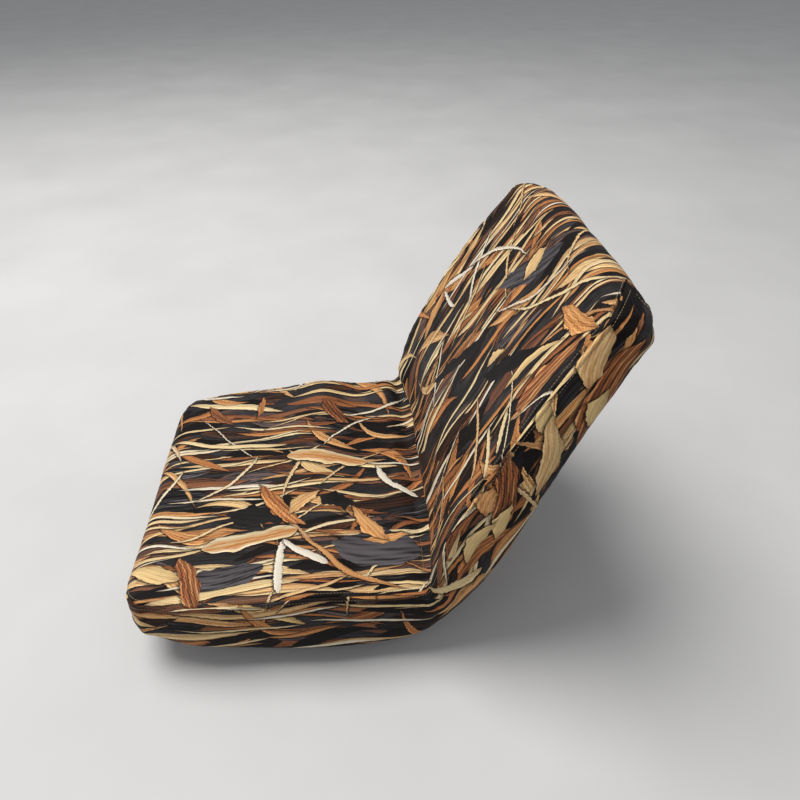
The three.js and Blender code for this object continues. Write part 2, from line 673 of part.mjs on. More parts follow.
const FLAT_WASHER = { ...under(PLATE_UNDER, 1.6), radius: 8.5 };
const SPRING_WASHER = { ...under(FLAT_WASHER.low, 2), radius: 7 };
const BOLT_HEAD = { ...under(SPRING_WASHER.low, 5.4), flats: 13 };
const BOLT_TIP = BOSS_LEVEL + SHELL_WALL + BOLT_STICK_OUT;
const INSERT_FLANGE = { low: BOSS_LEVEL + SHELL_WALL + GAP, thickness: 1.5, radius: 11 };
const BOLT_HOLE = BOLT_RADIUS + GAP;

function bolt(x, y) {
  const head = toSolid(hexPrism(BOLT_HEAD.flats, BOLT_HEAD.low, BOLT_HEAD.high, x, y));
  return toGeometry(head.add(toSolid(drum(BOLT_RADIUS, BOLT_HEAD.high - 1, BOLT_TIP, 12, x, y))));
}

// A split ring, so that it shows the gap of a spring washer.
function springWasher(x, y) {
  const { low, high, radius } = SPRING_WASHER;
  const slot = new THREE.BoxGeometry(radius * 2, 1, 2 * (high - low));
  slot.translate(radius, 0, (low + high) / 2);
  const washer = toSolid(ring(BOLT_HOLE, radius, low, high, 16)).subtract(toSolid(slot));
  return toGeometry(washer.translate([x, y, 0]));
}

function flatWasher(x, y) {
  const { low, high, radius } = FLAT_WASHER;
  return ring(BOLT_HOLE, radius, low, high, 16).translate(x, y, 0);
}

function threadedInsert(x, y) {
  const { low, thickness, radius } = INSERT_FLANGE;
  const foot = BOSS_LEVEL + 1;
  return turned([
    [BOLT_HOLE, foot], [INSERT_BARREL, foot], [INSERT_BARREL, low], [radius, low],
    [radius, low + thickness], [BOLT_HOLE, low + thickness], [BOLT_HOLE, foot],
  ], 16).translate(x, y, 0);
}

squareCorners(HOLE_SPACING).forEach(([x, y], i) => {
  add(`seat_bolt_${i + 1}`, bolt(x, y), zincMaterial());
  add(`spring_washer_${i + 1}`, springWasher(x, y), zincMaterial());
  add(`flat_washer_${i + 1}`, flatWasher(x, y), zincMaterial());
  add(`threaded_insert_${i + 1}`, threadedInsert(x, y), zincMaterial());
});

export default group;
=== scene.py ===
"""Padded swivel seat for a hunting blind, in a slip-on cover printed with dry reeds.

Metres, +Z up. The front of the seat faces -Y and the sitter's left is +X.
"""
import math

import bpy
import numpy as np
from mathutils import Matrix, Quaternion, Vector


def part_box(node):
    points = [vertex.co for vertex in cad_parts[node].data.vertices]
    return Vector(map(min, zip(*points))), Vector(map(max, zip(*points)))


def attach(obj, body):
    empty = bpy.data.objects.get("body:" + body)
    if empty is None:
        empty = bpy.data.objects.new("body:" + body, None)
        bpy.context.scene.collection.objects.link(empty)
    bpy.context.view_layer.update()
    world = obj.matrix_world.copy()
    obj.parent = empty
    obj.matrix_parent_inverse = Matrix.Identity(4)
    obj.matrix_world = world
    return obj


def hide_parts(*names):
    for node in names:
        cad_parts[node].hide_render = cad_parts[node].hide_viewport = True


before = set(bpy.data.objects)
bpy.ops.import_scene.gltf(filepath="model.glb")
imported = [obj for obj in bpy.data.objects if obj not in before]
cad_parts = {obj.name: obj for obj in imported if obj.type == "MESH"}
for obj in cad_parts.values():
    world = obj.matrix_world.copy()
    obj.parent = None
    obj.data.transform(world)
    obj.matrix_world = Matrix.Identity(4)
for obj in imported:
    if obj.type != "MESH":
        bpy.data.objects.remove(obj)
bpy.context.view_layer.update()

# ---------------------------------------------------------------- driving dimensions
MM = 0.001
# The side view of the covered seat, as the CAD model has it, in millimetres: station, seam (y, z),
# rim (y, z), half width at the seam, dish of the sitting face.
STATIONS = np.array([
    [0.0, -225, 117, -225, 50, 206, 2],
    [0.1, -170, 119, -170, 38, 218, 5],
    [0.2, -90, 123, -90, 27, 221, 9],
    [0.3, -10, 131, -10, 21, 225, 14],
    [0.38, 50, 124, 58, 21, 223, 14],
    [0.45, 100, 124, 110, 33, 223, 15],
    [0.5, 122, 128, 148, 60, 223, 24],
    [0.56, 129, 155, 180, 104, 223, 18],
    [0.64, 143, 215, 216, 175, 221, 14],
    [0.72, 170, 276, 242, 242, 218, 12],
    [0.88, 230, 387, 293, 362, 207, 8],
    [1.0, 287, 472, 343, 446, 190, 4],
])
CREASE = 0.525  # station of the sewn crease between seat and back
FOAM_GAP = 0.03  # how many stations short of the crease each foam pad ends
BELLY = 10 * MM  # how far the side bulges past its seam
RIM_RADIUS = 22 * MM
SIDE_SPLIT = 0.6  # share of the side that is wall; the rest is the rounded rim
FRONT_END = {"reach": 37 * MM, "corner": 70 * MM, "crown": 0.0}
TOP_END = {"reach": 36 * MM, "corner": 52 * MM, "crown": 9 * MM}
HEM_FRONT = 2 / 24  # stations where the hem crosses the underside
HEM_BACK = 11 / 24
HEM_RADIUS = 3.6 * MM
HEM_CORNER = 40 * MM
HEM_DROP = 2.6 * MM  # how far the hem hangs under the panels
COVER_THICKNESS = 1.2 * MM
GRID = 2.8 * MM  # spacing of the cover's mesh
SEAM_SLIT = 0.15 * MM  # half the gap between two panels at a seam
FACE_HALF_WIDTH = 200 * MM  # a face panel from its middle to its seam, about
BAND_WIDTH = 100 * MM  # a side band or an under flap across, about
SEAM_BLEND = 14 * MM  # beside a seam, the cloth rises along the bisector of the two panels
QUARTER = math.pi / 2


# ---------------------------------------------------------------- small numeric helpers
def smoothstep(x, low, high):
    t = np.clip((x - low) / (high - low), 0, 1)
    return t * t * (3 - 2 * t)


def lerp(a, b, t):
    return a + (b - a) * t


def unit(vectors):
    return vectors / np.maximum(np.linalg.norm(vectors, axis=-1, keepdims=True), 1e-12)


def noise(u, v, seed):
    """Smooth noise from -1 to 1 with a wavelength of about 1 in u and v."""
    u, v = np.broadcast_arrays(np.asarray(u, float), np.asarray(v, float))
    size = 128
    lattice = np.random.default_rng(seed).uniform(-1, 1, (size, size))
    i, j = np.floor(u).astype(int), np.floor(v).astype(int)
    s, t = u - i, v - j
    s, t = s * s * (3 - 2 * s), t * t * (3 - 2 * t)

    def corner(a, b):
        return lattice[(i + a) % size, (j + b) % size]

    low = lerp(corner(0, 0), corner(1, 0), s)
    high = lerp(corner(0, 1), corner(1, 1), s)
    return lerp(low, high, t)


# ---------------------------------------------------------------- the covered seat's surface
def stations(at):
    """(seam, rim, half width, dish) at each station, smoothly through the listed ones, in metres."""
    at = np.asarray(at, float)
    keys, values = STATIONS[:, 0], STATIONS[:, 1:] * MM
    slope = np.empty_like(values)
    slope[1:-1] = (values[2:] - values[:-2]) / (keys[2:] - keys[:-2])[:, None]
    slope[0] = (values[1] - values[0]) / (keys[1] - keys[0])
    slope[-1] = (values[-1] - values[-2]) / (keys[-1] - keys[-2])
    i = np.clip(np.searchsorted(keys, at, side="left") - 1, 0, len(keys) - 2)
    span = (keys[i + 1] - keys[i])[..., None]
    t = ((at - keys[i])[..., None]) / span
    rise = (3 - 2 * t) * t * t
    found = lerp(values[i], values[i + 1], rise) + span * (
        t * (1 - t) ** 2 * slope[i] + t * t * (t - 1) * slope[i + 1]
    )
    return found[..., 0:2], found[..., 2:4], found[..., 4], found[..., 5]


def surface(at, turn, around, depth=0.0):
    """Points of the seat's surface, or of a surface sunk below it by depth.

    at: station, turn: angle round the front end (at = 0) or the top end (at = 1),
    around: 0 mid sitting face, 1 seam, 2 rim, 3 mid underside, negative on the sitter's right.
    """
    at, turn, around, depth = np.broadcast_arrays(
        *(np.asarray(a, float) for a in (at, turn, around, depth))
    )
    seam, rim, half, dish = stations(at)
    front = at < 0.5
    reach = np.where(front, FRONT_END["reach"], TOP_END["reach"])
    corner = np.where(front, FRONT_END["corner"], TOP_END["corner"])
    crown = np.where(front, FRONT_END["crown"], TOP_END["crown"])
    thickness = np.linalg.norm(seam - rim, axis=-1)
    outward = (seam - rim) / thickness[..., None]
    middle = (seam + rim) / 2
    high = thickness / 2
    squash = np.cos(turn)
    mean_half = half + (BELLY - RIM_RADIUS) / 2
    cut = corner * (1 - np.cos(turn))

    def width_of(edge):
        return mean_half + (edge - mean_half) * squash - cut - depth

    side = np.abs(around)
    face_x = side * width_of(half)
    face_h = high - depth - dish * (1 - np.clip(side, 0, 1) ** 4)
    t = side - 1
    q = np.clip(t / SIDE_SPLIT, 0, 1)
    wall_x = lerp(width_of(half), width_of(half + BELLY), np.sin(q * QUARTER))
    wall_h = lerp(high - depth, RIM_RADIUS - high, q)
    q = np.clip((t - SIDE_SPLIT) / (1 - SIDE_SPLIT), 0, 1) * QUARTER
    rim_x = lerp(width_of(half + BELLY - RIM_RADIUS), width_of(half + BELLY), np.cos(q))
    rim_h = RIM_RADIUS - high - (RIM_RADIUS - depth) * np.sin(q)
    under_x = (3 - side) * width_of(half + BELLY - RIM_RADIUS)
    under_h = depth - high
    zones = [side <= 1, side <= 1 + SIDE_SPLIT, side <= 2]
    x = np.select(zones, [face_x, wall_x, rim_x], under_x)
    height = np.select(zones, [face_h, wall_h, rim_h], under_h)
    along_y = np.where(front, -1.0, outward[..., 1])
    along_z = np.where(front, 0.0, -outward[..., 0])
    advance = (reach - depth) * np.sin(turn) - crown * np.sin(turn) * (x / half) ** 2
    y = middle[..., 0] + outward[..., 0] * height * squash + along_y * advance
    z = middle[..., 1] + outward[..., 1] * height * squash + along_z * advance
    return np.stack([np.where(around < 0, -x, x), y, z], axis=-1)


def face_surface(at, swing, across):
    """The sitting face and the underside in one: swing runs from 0 (face) to pi (underside)."""
    at, swing, across = np.broadcast_arrays(*(np.asarray(a, float) for a in (at, swing, across)))
    under = swing > QUARTER
    turn = np.where(under, math.pi - swing, swing)
    sign = np.where(across < 0, -1.0, 1.0)
    around = np.where(under, sign * (3 - np.abs(across)), across)
    return surface(at, turn, around)


def lengths(points, axis):
    """Distance run along an axis of a grid of points, starting at 0."""
    step = np.linalg.norm(np.diff(points, axis=axis), axis=-1)
    start = np.zeros_like(np.take(step, [0], axis=axis))
    return np.concatenate([start, np.cumsum(step, axis=axis)], axis=axis)


def grid_normals(points):
    """Unit normals of a grid, to the right of its rows' direction seen along its columns."""
    down = np.gradient(points, axis=0)
    over = np.gradient(points, axis=1)
    return unit(np.cross(over, down))


# ---------------------------------------------------------------- meshes
def new_object(name, vertices, faces):
    mesh = bpy.data.meshes.new(name)
    mesh.from_pydata(np.asarray(vertices, float).tolist(), [], [tuple(map(int, f)) for f in faces])
    mesh.update()
    mesh.polygons.foreach_set("use_smooth", [True] * len(mesh.polygons))
    made = bpy.data.objects.new(name, mesh)
    bpy.context.scene.collection.objects.link(made)
    return made


def grid_faces(rows, columns, offset=0, flip=False, wrap=False):
    """Quads between the points of a grid stored row by row."""
    r = np.arange(rows - 1)[:, None]
    c = np.arange(columns if wrap else columns - 1)[None, :]
    n = (c + 1) % columns
    a, b = r * columns + c, r * columns + n
    d, e = a + columns, b + columns
    quads = np.stack([a, b, e, d] if not flip else [a, d, e, b], axis=-1)
    return quads.reshape(-1, 4) + offset


def rim_faces(rows, columns):
    """Quads that join the edges of two equal grids, the second stored after the first."""
    ids = np.arange(rows * columns).reshape(rows, columns)
    loop = np.concatenate([ids[0, :-1], ids[:-1, -1], ids[-1, :0:-1], ids[:0:-1, 0]])
    after = np.roll(loop, -1)
    inner = rows * columns
    return np.stack([after, loop, loop + inner, after + inner], axis=-1)


def thin_sheet(name, outside, normals, grain):
    """A closed sheet of cloth: the outside grid, a copy sunk by its thickness, and the edges between.

    grain is each point's place on the printed cloth, kept as an attribute for the material.
    """
    rows, columns = outside.shape[:2]
    inside = outside - normals * COVER_THICKNESS
    points = np.concatenate([outside.reshape(-1, 3), inside.reshape(-1, 3)])
    faces = np.concatenate([
        grid_faces(rows, columns),
        grid_faces(rows, columns, rows * columns, flip=True),
        rim_faces(rows, columns),
    ])
    piece = new_object(name, points, faces)
    layer = piece.data.attributes.new("grain", "FLOAT_VECTOR", "POINT")
    layer.data.foreach_set("vector", np.concatenate([grain, grain]).reshape(-1).astype(np.float32))
    return piece


# ---------------------------------------------------------------- sewn detail
STITCH_LINE = 6.5 * MM  # distance of the topstitching from its seam
GROOVE = 2.6 * MM  # how far a seam sinks
FINE_STEP = 0.9 * MM
FINE_ZONE = 14 * MM


def graded(total, fine_start=True, fine_end=True):
    """Shares from 0 to 1 of a length, closely spaced near the ends that are asked for."""
    marks = np.linspace(0, total, 4001)
    close = np.zeros_like(marks)
    if fine_start:
        close = np.maximum(close, 1 - smoothstep(marks, FINE_ZONE, 2 * FINE_ZONE))
    if fine_end:
        close = np.maximum(close, 1 - smoothstep(total - marks, FINE_ZONE, 2 * FINE_ZONE))
    density = lerp(1 / GRID, 1 / FINE_STEP, close)
    count = np.concatenate([[0], np.cumsum((density[1:] + density[:-1]) / 2 * np.diff(marks))])
    wanted = np.linspace(0, count[-1], int(round(count[-1])) + 1)
    return np.interp(wanted, count, marks) / total


def walk(legs, place, fine_start, fine_end):
    """(at, angle) pairs along legs of (at, angle) pairs, spaced as graded says where place puts them."""
    dense = np.concatenate([np.linspace(a, b, 200) for a, b in zip(legs[:-1], legs[1:])])
    run = lengths(place(dense[:, 0], dense[:, 1]), 0)
    wanted = graded(run[-1], fine_start, fine_end) * run[-1]
    return np.interp(wanted, run, dense[:, 0]), np.interp(wanted, run, dense[:, 1])


def seam_normals(at, turn, sign):
    """The direction half way between the sitting face and the side, along the seam."""
    step = 0.02
    on_seam = surface(at, turn, sign)
    face = surface(at, turn, sign * (1 - step))
    wall = surface(at, turn, sign * (1 + step))
    down = np.gradient(on_seam, axis=0)
    face_normal = unit(np.cross(sign * (on_seam - face), down))
    wall_normal = unit(np.cross(sign * (wall - on_seam), down))
    return unit(face_normal + wall_normal)


def seam_relief(distance, run, seed):
    """Height beside a seam: the groove, the rolled seam allowance, the topstitching and its puckers."""
    groove = -GROOVE * np.exp(-((distance / (2.4 * MM)) ** 2))
    roll = 0.7 * MM * np.exp(-(((distance - 4.2 * MM) / (2.2 * MM)) ** 2))
    stitched = -0.55 * MM * np.exp(-(((distance - STITCH_LINE) / (1.1 * MM)) ** 2))
    size = 0.75 * MM * smoothstep(distance, 0, 3 * MM) * np.exp(-distance / (17 * MM))
    pucker = size * (noise(run / (6.5 * MM), distance / (30 * MM), seed) + 0.2)
    return groove + roll + stitched + pucker


def crease_relief(distance, lateral, seed):
    """Height beside the sewn crease: a deep fold between two full lips, with small gathers across it."""
    fold = -13 * MM * np.exp(-((distance / (8 * MM)) ** 1.4))
    lip = 2.2 * MM * np.exp(-(((distance - 26 * MM) / (15 * MM)) ** 2))
    fade = np.exp(-distance / (26 * MM))
    gathers = 1.9 * MM * fade * noise(lateral / (13 * MM), distance / (70 * MM), seed)
    fine = 0.7 * MM * fade * noise(lateral / (5 * MM), distance / (40 * MM), seed + 1)
    return fold + lip + gathers + fine


def fan(along, down, spread, size, radius, start, folds, seed):
    """Folds that run out of one point: along and down are distances from it on the cloth."""
    reach = np.hypot(along, down)
    angle = np.arctan2(along, down)
    lobes = noise(angle * folds + 40, reach / (60 * MM), seed)
    inside = np.exp(-((angle / spread) ** 4))
    return size * lobes * inside * smoothstep(reach, 0, start) * np.exp(-((reach / radius) ** 2))


def slack(u, v, size, across, along, seed):
    """Soft unevenness of stretched cloth over foam, longer along the grain than across it."""
    broad = noise(u / across, v / along, seed)
    small = noise(u / across * 2.7, v / along * 2.2, seed + 1)
    return size * (broad + 0.35 * small)


def gathers(distance, run, seed):
    """Pleats where the cloth is drawn up by the elastic, and the drop towards the hem."""
    fade = np.exp(-distance / (20 * MM))
    pleats = 1.5 * MM * fade * noise(run / (6.5 * MM), distance / (60 * MM), seed)
    return pleats + 1.2 * MM * np.exp(-distance / (7 * MM))


def humps(u, v, places):
    """Broad soft humps of slack cloth, each given as (u, v, size across, size along, height)."""
    height = np.zeros(np.broadcast(u, v).shape)
    for centre_u, centre_v, across, along, rise in places:
        height += rise * np.exp(-(((u - centre_u) / across) ** 2) - ((v - centre_v) / along) ** 2)
    return height


# ---------------------------------------------------------------- cover panels
class Panel:
    """One fine sheet of the cover: its outside grid, normals, and the places of its seams."""

    def __init__(self, name, base, normals, height, grain, seam_rows):
        self.name = name
        self.outside = base + normals * height[..., None]
        self.normals = grid_normals(self.outside)
        self.grain = grain
        self.seam_rows = seam_rows  # (distance from the seam, which rows) for each topstitched edge

    def build(self):
        piece = thin_sheet(self.name, self.outside, self.normals, self.grain)
        width = float(lengths(self.outside, 1)[:, -1].max())
        length = float(lengths(self.outside, 0)[-1].max())
        steps = np.linalg.norm(np.cross(
            self.outside[1:, :-1] - self.outside[:-1, :-1],
            self.outside[:-1, 1:] - self.outside[:-1, :-1],
        ), axis=-1)
        self.flat = (width, length)
        self.area = float(steps.sum())
        return piece

    def line(self, distance, edge):
        """Points and normals of a line at a distance from the seam, on the rows that the seam has."""
        gap, rows = self.seam_rows[edge]
        places, normals = [], []
        for r in rows:
            order = np.argsort(gap[r])
            near = gap[r][order]
            places.append([np.interp(distance, near, self.outside[r][order, k]) for k in range(3)])
            normals.append([np.interp(distance, near, self.normals[r][order, k]) for k in range(3)])
        return np.array(places), unit(np.array(normals))


def face_panel(name, legs, crease_first, print_origin, swells, seed):
    """A panel of the sitting face that carries on round its end to the underside."""
    at, swing = walk(legs, lambda a, s: face_surface(a, s, 0.0), crease_first, not crease_first)
    widest = 2 * STATIONS[:, 5].max() * MM
    across = (2 * graded(widest) - 1) * (1 - SEAM_SLIT / FACE_HALF_WIDTH)
    base = face_surface(at[:, None], swing[:, None], across[None, :])
    normals = grid_normals(base)
    row_run = lengths(base, 1)
    from_left = row_run
    from_right = row_run[:, -1:] - row_run
    run = lengths(base, 0)
    middle = base.shape[1] // 2
    centre_run = run[:, middle]
    if crease_first:
        from_crease, from_hem = run, run[-1:] - run
    else:
        from_crease, from_hem = run[-1:] - run, run
    turn = np.minimum(swing, math.pi - swing)
    on_top = (swing < QUARTER)[:, None, None]
    for sign, gap in ((-1.0, from_left), (1.0, from_right)):
        edge = seam_normals(at, turn, sign)[:, None, :]
        mixed = unit(lerp(edge, normals, smoothstep(gap, 0, SEAM_BLEND)[..., None]))
        normals = np.where(on_top, mixed, normals)
    lateral = row_run - row_run[:, middle:middle + 1]
    seam_gap = np.minimum(from_left, from_right)
    height = seam_relief(seam_gap, run + np.where(lateral < 0, 5, 0), seed)
    height += crease_relief(from_crease, lateral, seed + 3) * smoothstep(seam_gap, -4 * MM, 26 * MM)
    loose = slack(lateral, run, 1.3 * MM, 55 * MM, 120 * MM, seed + 5)
    height += loose * smoothstep(seam_gap, 0, 40 * MM)
    height += gathers(from_hem, lateral, seed + 7)
    height += humps(lateral, centre_run[:, None], swells) * smoothstep(seam_gap, 0, 16 * MM)
    grain_v = np.broadcast_to(centre_run[:, None], lateral.shape) + print_origin[1]
    grain = np.stack([lateral + print_origin[0], grain_v, np.full_like(lateral, seed)], axis=-1)
    rows = np.where(np.minimum(from_crease, from_hem)[:, middle] > STITCH_LINE)[0]
    seams = {"right": (from_left, rows), "left": (from_right, rows)}
    return Panel(name, base, normals, height, grain, seams)


def side_panel(name, sign, print_origin, seed):
    """The long band down one side, from the front edge along the seat and up the back to the top."""
    tip = QUARTER * 0.995
    legs = [(0.0, tip), (0.0, 0.0), (1.0, 0.0), (1.0, tip)]
    at, turn = walk(legs, lambda a, t: surface(a, t, 1.5), True, True)
    shares = graded(0.12)
    slit = SEAM_SLIT / BAND_WIDTH
    rows = []
    for a, t in zip(at, turn):
        dense = np.linspace(1 + slit, 2 - slit, 80)
        run = lengths(surface(a, t, dense), 0)
        rows.append(np.interp(shares * run[-1], run, dense))
    around = np.array(rows) * sign
    if sign < 0:
        around = around[:, ::-1]
    base = surface(at[:, None], turn[:, None], around)
    normals = grid_normals(base)
    column_run = lengths(base, 1)
    from_top, from_rim = column_run, column_run[:, -1:] - column_run
    if sign < 0:
        from_top, from_rim = from_rim, from_top
    edge = seam_normals(at, turn, sign)[:, None, :]
    normals = unit(lerp(edge, normals, smoothstep(from_top, 0, SEAM_BLEND)[..., None]))
    run = lengths(base, 0)
    mid_run = run[:, run.shape[1] // 2]
    width = (from_top + from_rim)[:, :1]
    height = seam_relief(from_top, run, seed) + seam_relief(from_rim, run + 3, seed + 1)
    middle = smoothstep(from_top, 0, 25 * MM) * smoothstep(from_rim, 0, 25 * MM)
    height += slack(from_top, run, 1.7 * MM, 30 * MM, 130 * MM, seed + 4) * middle
    from_inner_corner = mid_run[:, None] - np.interp(CREASE, at, mid_run)
    height += fan(from_inner_corner, from_top, 1.2, 2.6 * MM, 70 * MM, 14 * MM, 3.4, seed + 8)
    top_corner = mid_run[at >= 1.0][0]
    from_top_corner = mid_run[:, None] - top_corner
    height += fan(from_top_corner, from_top, 1.5, 3.0 * MM, 90 * MM, 12 * MM, 3.8, seed + 9)
    height *= smoothstep(width, 2 * MM, 26 * MM)
    grain_v = np.broadcast_to(mid_run[:, None], from_top.shape) + print_origin[1]
    grain = np.stack([from_top + print_origin[0], grain_v, np.full_like(from_top, seed)], axis=-1)
    stitched = np.where(width[:, 0] > 2.4 * STITCH_LINE)[0]
    seams = {"top": (from_top, stitched), "rim": (from_rim, stitched)}
    return Panel(name, base, normals, height, grain, seams)


def hem_outline():
    """(half width, front, rear) of the hem's centre line, from the CAD hem."""
    low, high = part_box("cover_hem")
    return high.x - HEM_RADIUS, low.y + HEM_RADIUS, high.y - HEM_RADIUS


def hem_half_width(y):
    """Half width of the hem's rounded rectangle at y."""
    half, front, rear = hem_outline()
    past = np.maximum(np.maximum(front + HEM_CORNER - y, y - rear + HEM_CORNER), 0)
    past = np.minimum(past, HEM_CORNER)
    return half - HEM_CORNER + np.sqrt(HEM_CORNER**2 - past**2)


def under_flap(name, sign, print_origin, seed):
    """The part of the cover under the seat, from one side's lower seam to the elastic hem."""
    at = np.linspace(HEM_FRONT, HEM_BACK, 110)
    slit = SEAM_SLIT / BAND_WIDTH
    _, rim, half, _ = stations(at)
    wide = half + BELLY - RIM_RADIUS
    last = 3 - hem_half_width(rim[:, 0]) / wide
    around = sign * lerp(2 + slit, last[:, None], graded(0.05)[None, :])
    if sign < 0:
        around = around[:, ::-1]
    base = surface(at[:, None], 0.0, around)
    normals = grid_normals(base)
    column_run = lengths(base, 1)
    from_rim, from_hem = column_run, column_run[:, -1:] - column_run
    if sign < 0:
        from_rim, from_hem = from_hem, from_rim
    run = lengths(base, 0)
    height = seam_relief(from_rim, run, seed)
    height += gathers(from_hem, run, seed + 2)
    places = [from_rim + print_origin[0], run + print_origin[1], np.full_like(run, seed)]
    grain = np.stack(places, axis=-1)
    rows = np.arange(2, len(at) - 2)
    return Panel(name, base, normals, height, grain, {"rim": (from_rim, rows)})


# ---------------------------------------------------------------- shader helpers
class Nodes:
    """Adds shader nodes to a tree and links them; every value can be a number, a colour or a socket."""

    def __init__(self, tree):
        self.tree = tree

    def put(self, socket, value):
        if value is None:
            return
        if isinstance(value, bpy.types.NodeSocket):
            self.tree.links.new(value, socket)
        elif isinstance(value, (tuple, list)) and len(value) == 3 and socket.type == "RGBA":
            socket.default_value = (*value, 1.0)
        else:
            socket.default_value = value

    def node(self, kind, values=(), **settings):
        made = self.tree.nodes.new(kind)
        for key, setting in settings.items():
            setattr(made, key, setting)
        for key, value in dict(values).items():
            self.put(made.inputs[key], value)
        return made

    def math(self, operation, a, b=None, c=None):
        return self.node("ShaderNodeMath", {0: a, 1: b, 2: c}, operation=operation).outputs[0]

    def plus(self, a, b):
        return self.math("ADD", a, b)

    def minus(self, a, b):
        return self.math("SUBTRACT", a, b)

    def times(self, a, b):
        return self.math("MULTIPLY", a, b)

    def over(self, a, b):
        return self.math("DIVIDE", a, b)

    def times_plus(self, a, b, c):
        return self.math("MULTIPLY_ADD", a, b, c)

    def size(self, a):
        return self.math("ABSOLUTE", a)

    def mix(self, factor, a, b, blend="MIX"):
        made = self.node("ShaderNodeMix", {0: factor, 6: a, 7: b}, data_type="RGBA", blend_type=blend)
        return made.outputs[2]

    def noise(self, vector, scale, detail, output="Fac"):
        values = {"Vector": vector, "Scale": scale, "Detail": detail}
        return self.node("ShaderNodeTexNoise", values).outputs[output]

    def vectors(self, operation, a, b):
        return self.node("ShaderNodeVectorMath", {0: a, 1: b}, operation=operation).outputs[0]

    def scale(self, vector, factors):
        return self.vectors("MULTIPLY", vector, factors)

    def ramp(self, factor, stops):
        made = self.node("ShaderNodeValToRGB", {0: factor})
        ramp = made.color_ramp
        ramp.elements.remove(ramp.elements[1])
        ramp.elements[0].position = stops[0][0]
        for place, _ in stops[1:]:
            ramp.elements.new(place)
        for element, (_, colour) in zip(ramp.elements, stops):
            element.color = (*colour, 1.0)
        return made.outputs[0]

    def remap(self, value, low, high, to_low=0.0, to_high=1.0):
        values = {0: value, 1: low, 2: high, 3: to_low, 4: to_high}
        return self.node("ShaderNodeMapRange", values).outputs[0]


def new_material(name):
    material = bpy.data.materials.new(name)
    material.use_nodes = True
    material.node_tree.nodes.clear()
    return material, Nodes(material.node_tree)


def solid_material(name):
    """A new material, its Nodes, and the place on the object that its textures start from."""
    material, n = new_material(name)
    return material, n, n.node("ShaderNodeTexCoord").outputs["Object"]


def finish_material(nodes, colour, roughness, height=None, bump=0.1, distance=0.001, **fixed):
    """The Principled shader; fixed holds the sockets with one value all over."""
    shader = nodes.node("ShaderNodeBsdfPrincipled", {"Base Color": colour, "Roughness": roughness})
    for key, value in fixed.items():
        nodes.put(shader.inputs[key.replace("_", " ")], value)
    if height is not None:
        values = {"Height": height, "Strength": bump, "Distance": distance}
        nodes.put(shader.inputs["Normal"], nodes.node("ShaderNodeBump", values).outputs[0])
    output = nodes.node("ShaderNodeOutputMaterial")
    nodes.put(output.inputs["Surface"], shader.outputs[0])


# ---------------------------------------------------------------- the reed print
BLACK = (0.004, 0.003, 0.003)
SOOT = (0.016, 0.014, 0.015)
CHARCOAL = (0.022, 0.020, 0.022)
SLATE = (0.075, 0.068, 0.074)
MAUVE = (0.100, 0.056, 0.042)
DARK_BROWN = (0.042, 0.017, 0.009)
RED_BROWN = (0.160, 0.055, 0.024)
RUST = (0.340, 0.120, 0.040)
ORANGE = (0.520, 0.230, 0.075)
TAN = (0.590, 0.355, 0.160)
STRAW = (0.650, 0.470, 0.225)
CREAM = (0.730, 0.590, 0.345)
STALK = (0.690, 0.635, 0.530)
PALE = (0.640, 0.455, 0.200)
APRICOT = (0.640, 0.330, 0.130)
CATTAIL = (0.400, 0.165, 0.050)
FADED = (0.30, 0.25, 0.22)

THREAD_WAVES = 9000.0  # radians per metre of cloth, so a thread every 0.7 mm
EDGE_BLUR = 0.5 * MM  # how softly a printed blade ends
LEAST_WIDTH = 0.3 * MM  # keeps the distance across a blade finite at its tip

BLADE_OUTPUTS = ("Mask", "Shadow", "Across", "Along", "Random", "Streak")


def new_group(name, colours=(), floats=(), outputs=(), colour_outputs=()):
    """An empty node group with the named sockets; returns its tree, its Nodes and its inputs."""
    tree = bpy.data.node_groups.new(name, "ShaderNodeTree")
    for kind, names in (("NodeSocketColor", colours), ("NodeSocketFloat", floats)):
        for socket in names:
            tree.interface.new_socket(socket, in_out="INPUT", socket_type=kind)
    for kind, names in (("NodeSocketFloat", outputs), ("NodeSocketColor", colour_outputs)):
        for socket in names:
            tree.interface.new_socket(socket, in_out="OUTPUT", socket_type=kind)
    n = Nodes(tree)
    return tree, n, n.node("NodeGroupInput").outputs


def finish_group(n, names, values):
    """Links the values to the group's outputs of those names."""
    done = n.node("NodeGroupOutput").inputs
    for name, value in zip(names, values):
        n.put(done[name], value)


def random_one(n, number):
    """A random number from 0 to 1 that depends only on the number given: the far digits of its sine."""
    sine = n.math("SINE", n.times(number, 12.9898))
    return n.math("FRACT", n.times(sine, 43758.5453))


def fibres(n, across, along, shift):
    """Fine streaks that run along a blade, 0 to 1: three waves across it that slowly wander."""
    total = 0.5
    for waves, drift, size in ((4.1, 2.3, 0.10), (13.7, -2.7, 0.16), (29.3, 3.9, 0.15)):
        place = n.times_plus(across, waves, n.times_plus(along, drift, shift))
        total = n.times_plus(n.math("SINE", place), size, total)
        shift = n.times(shift, 1.7)
    return total


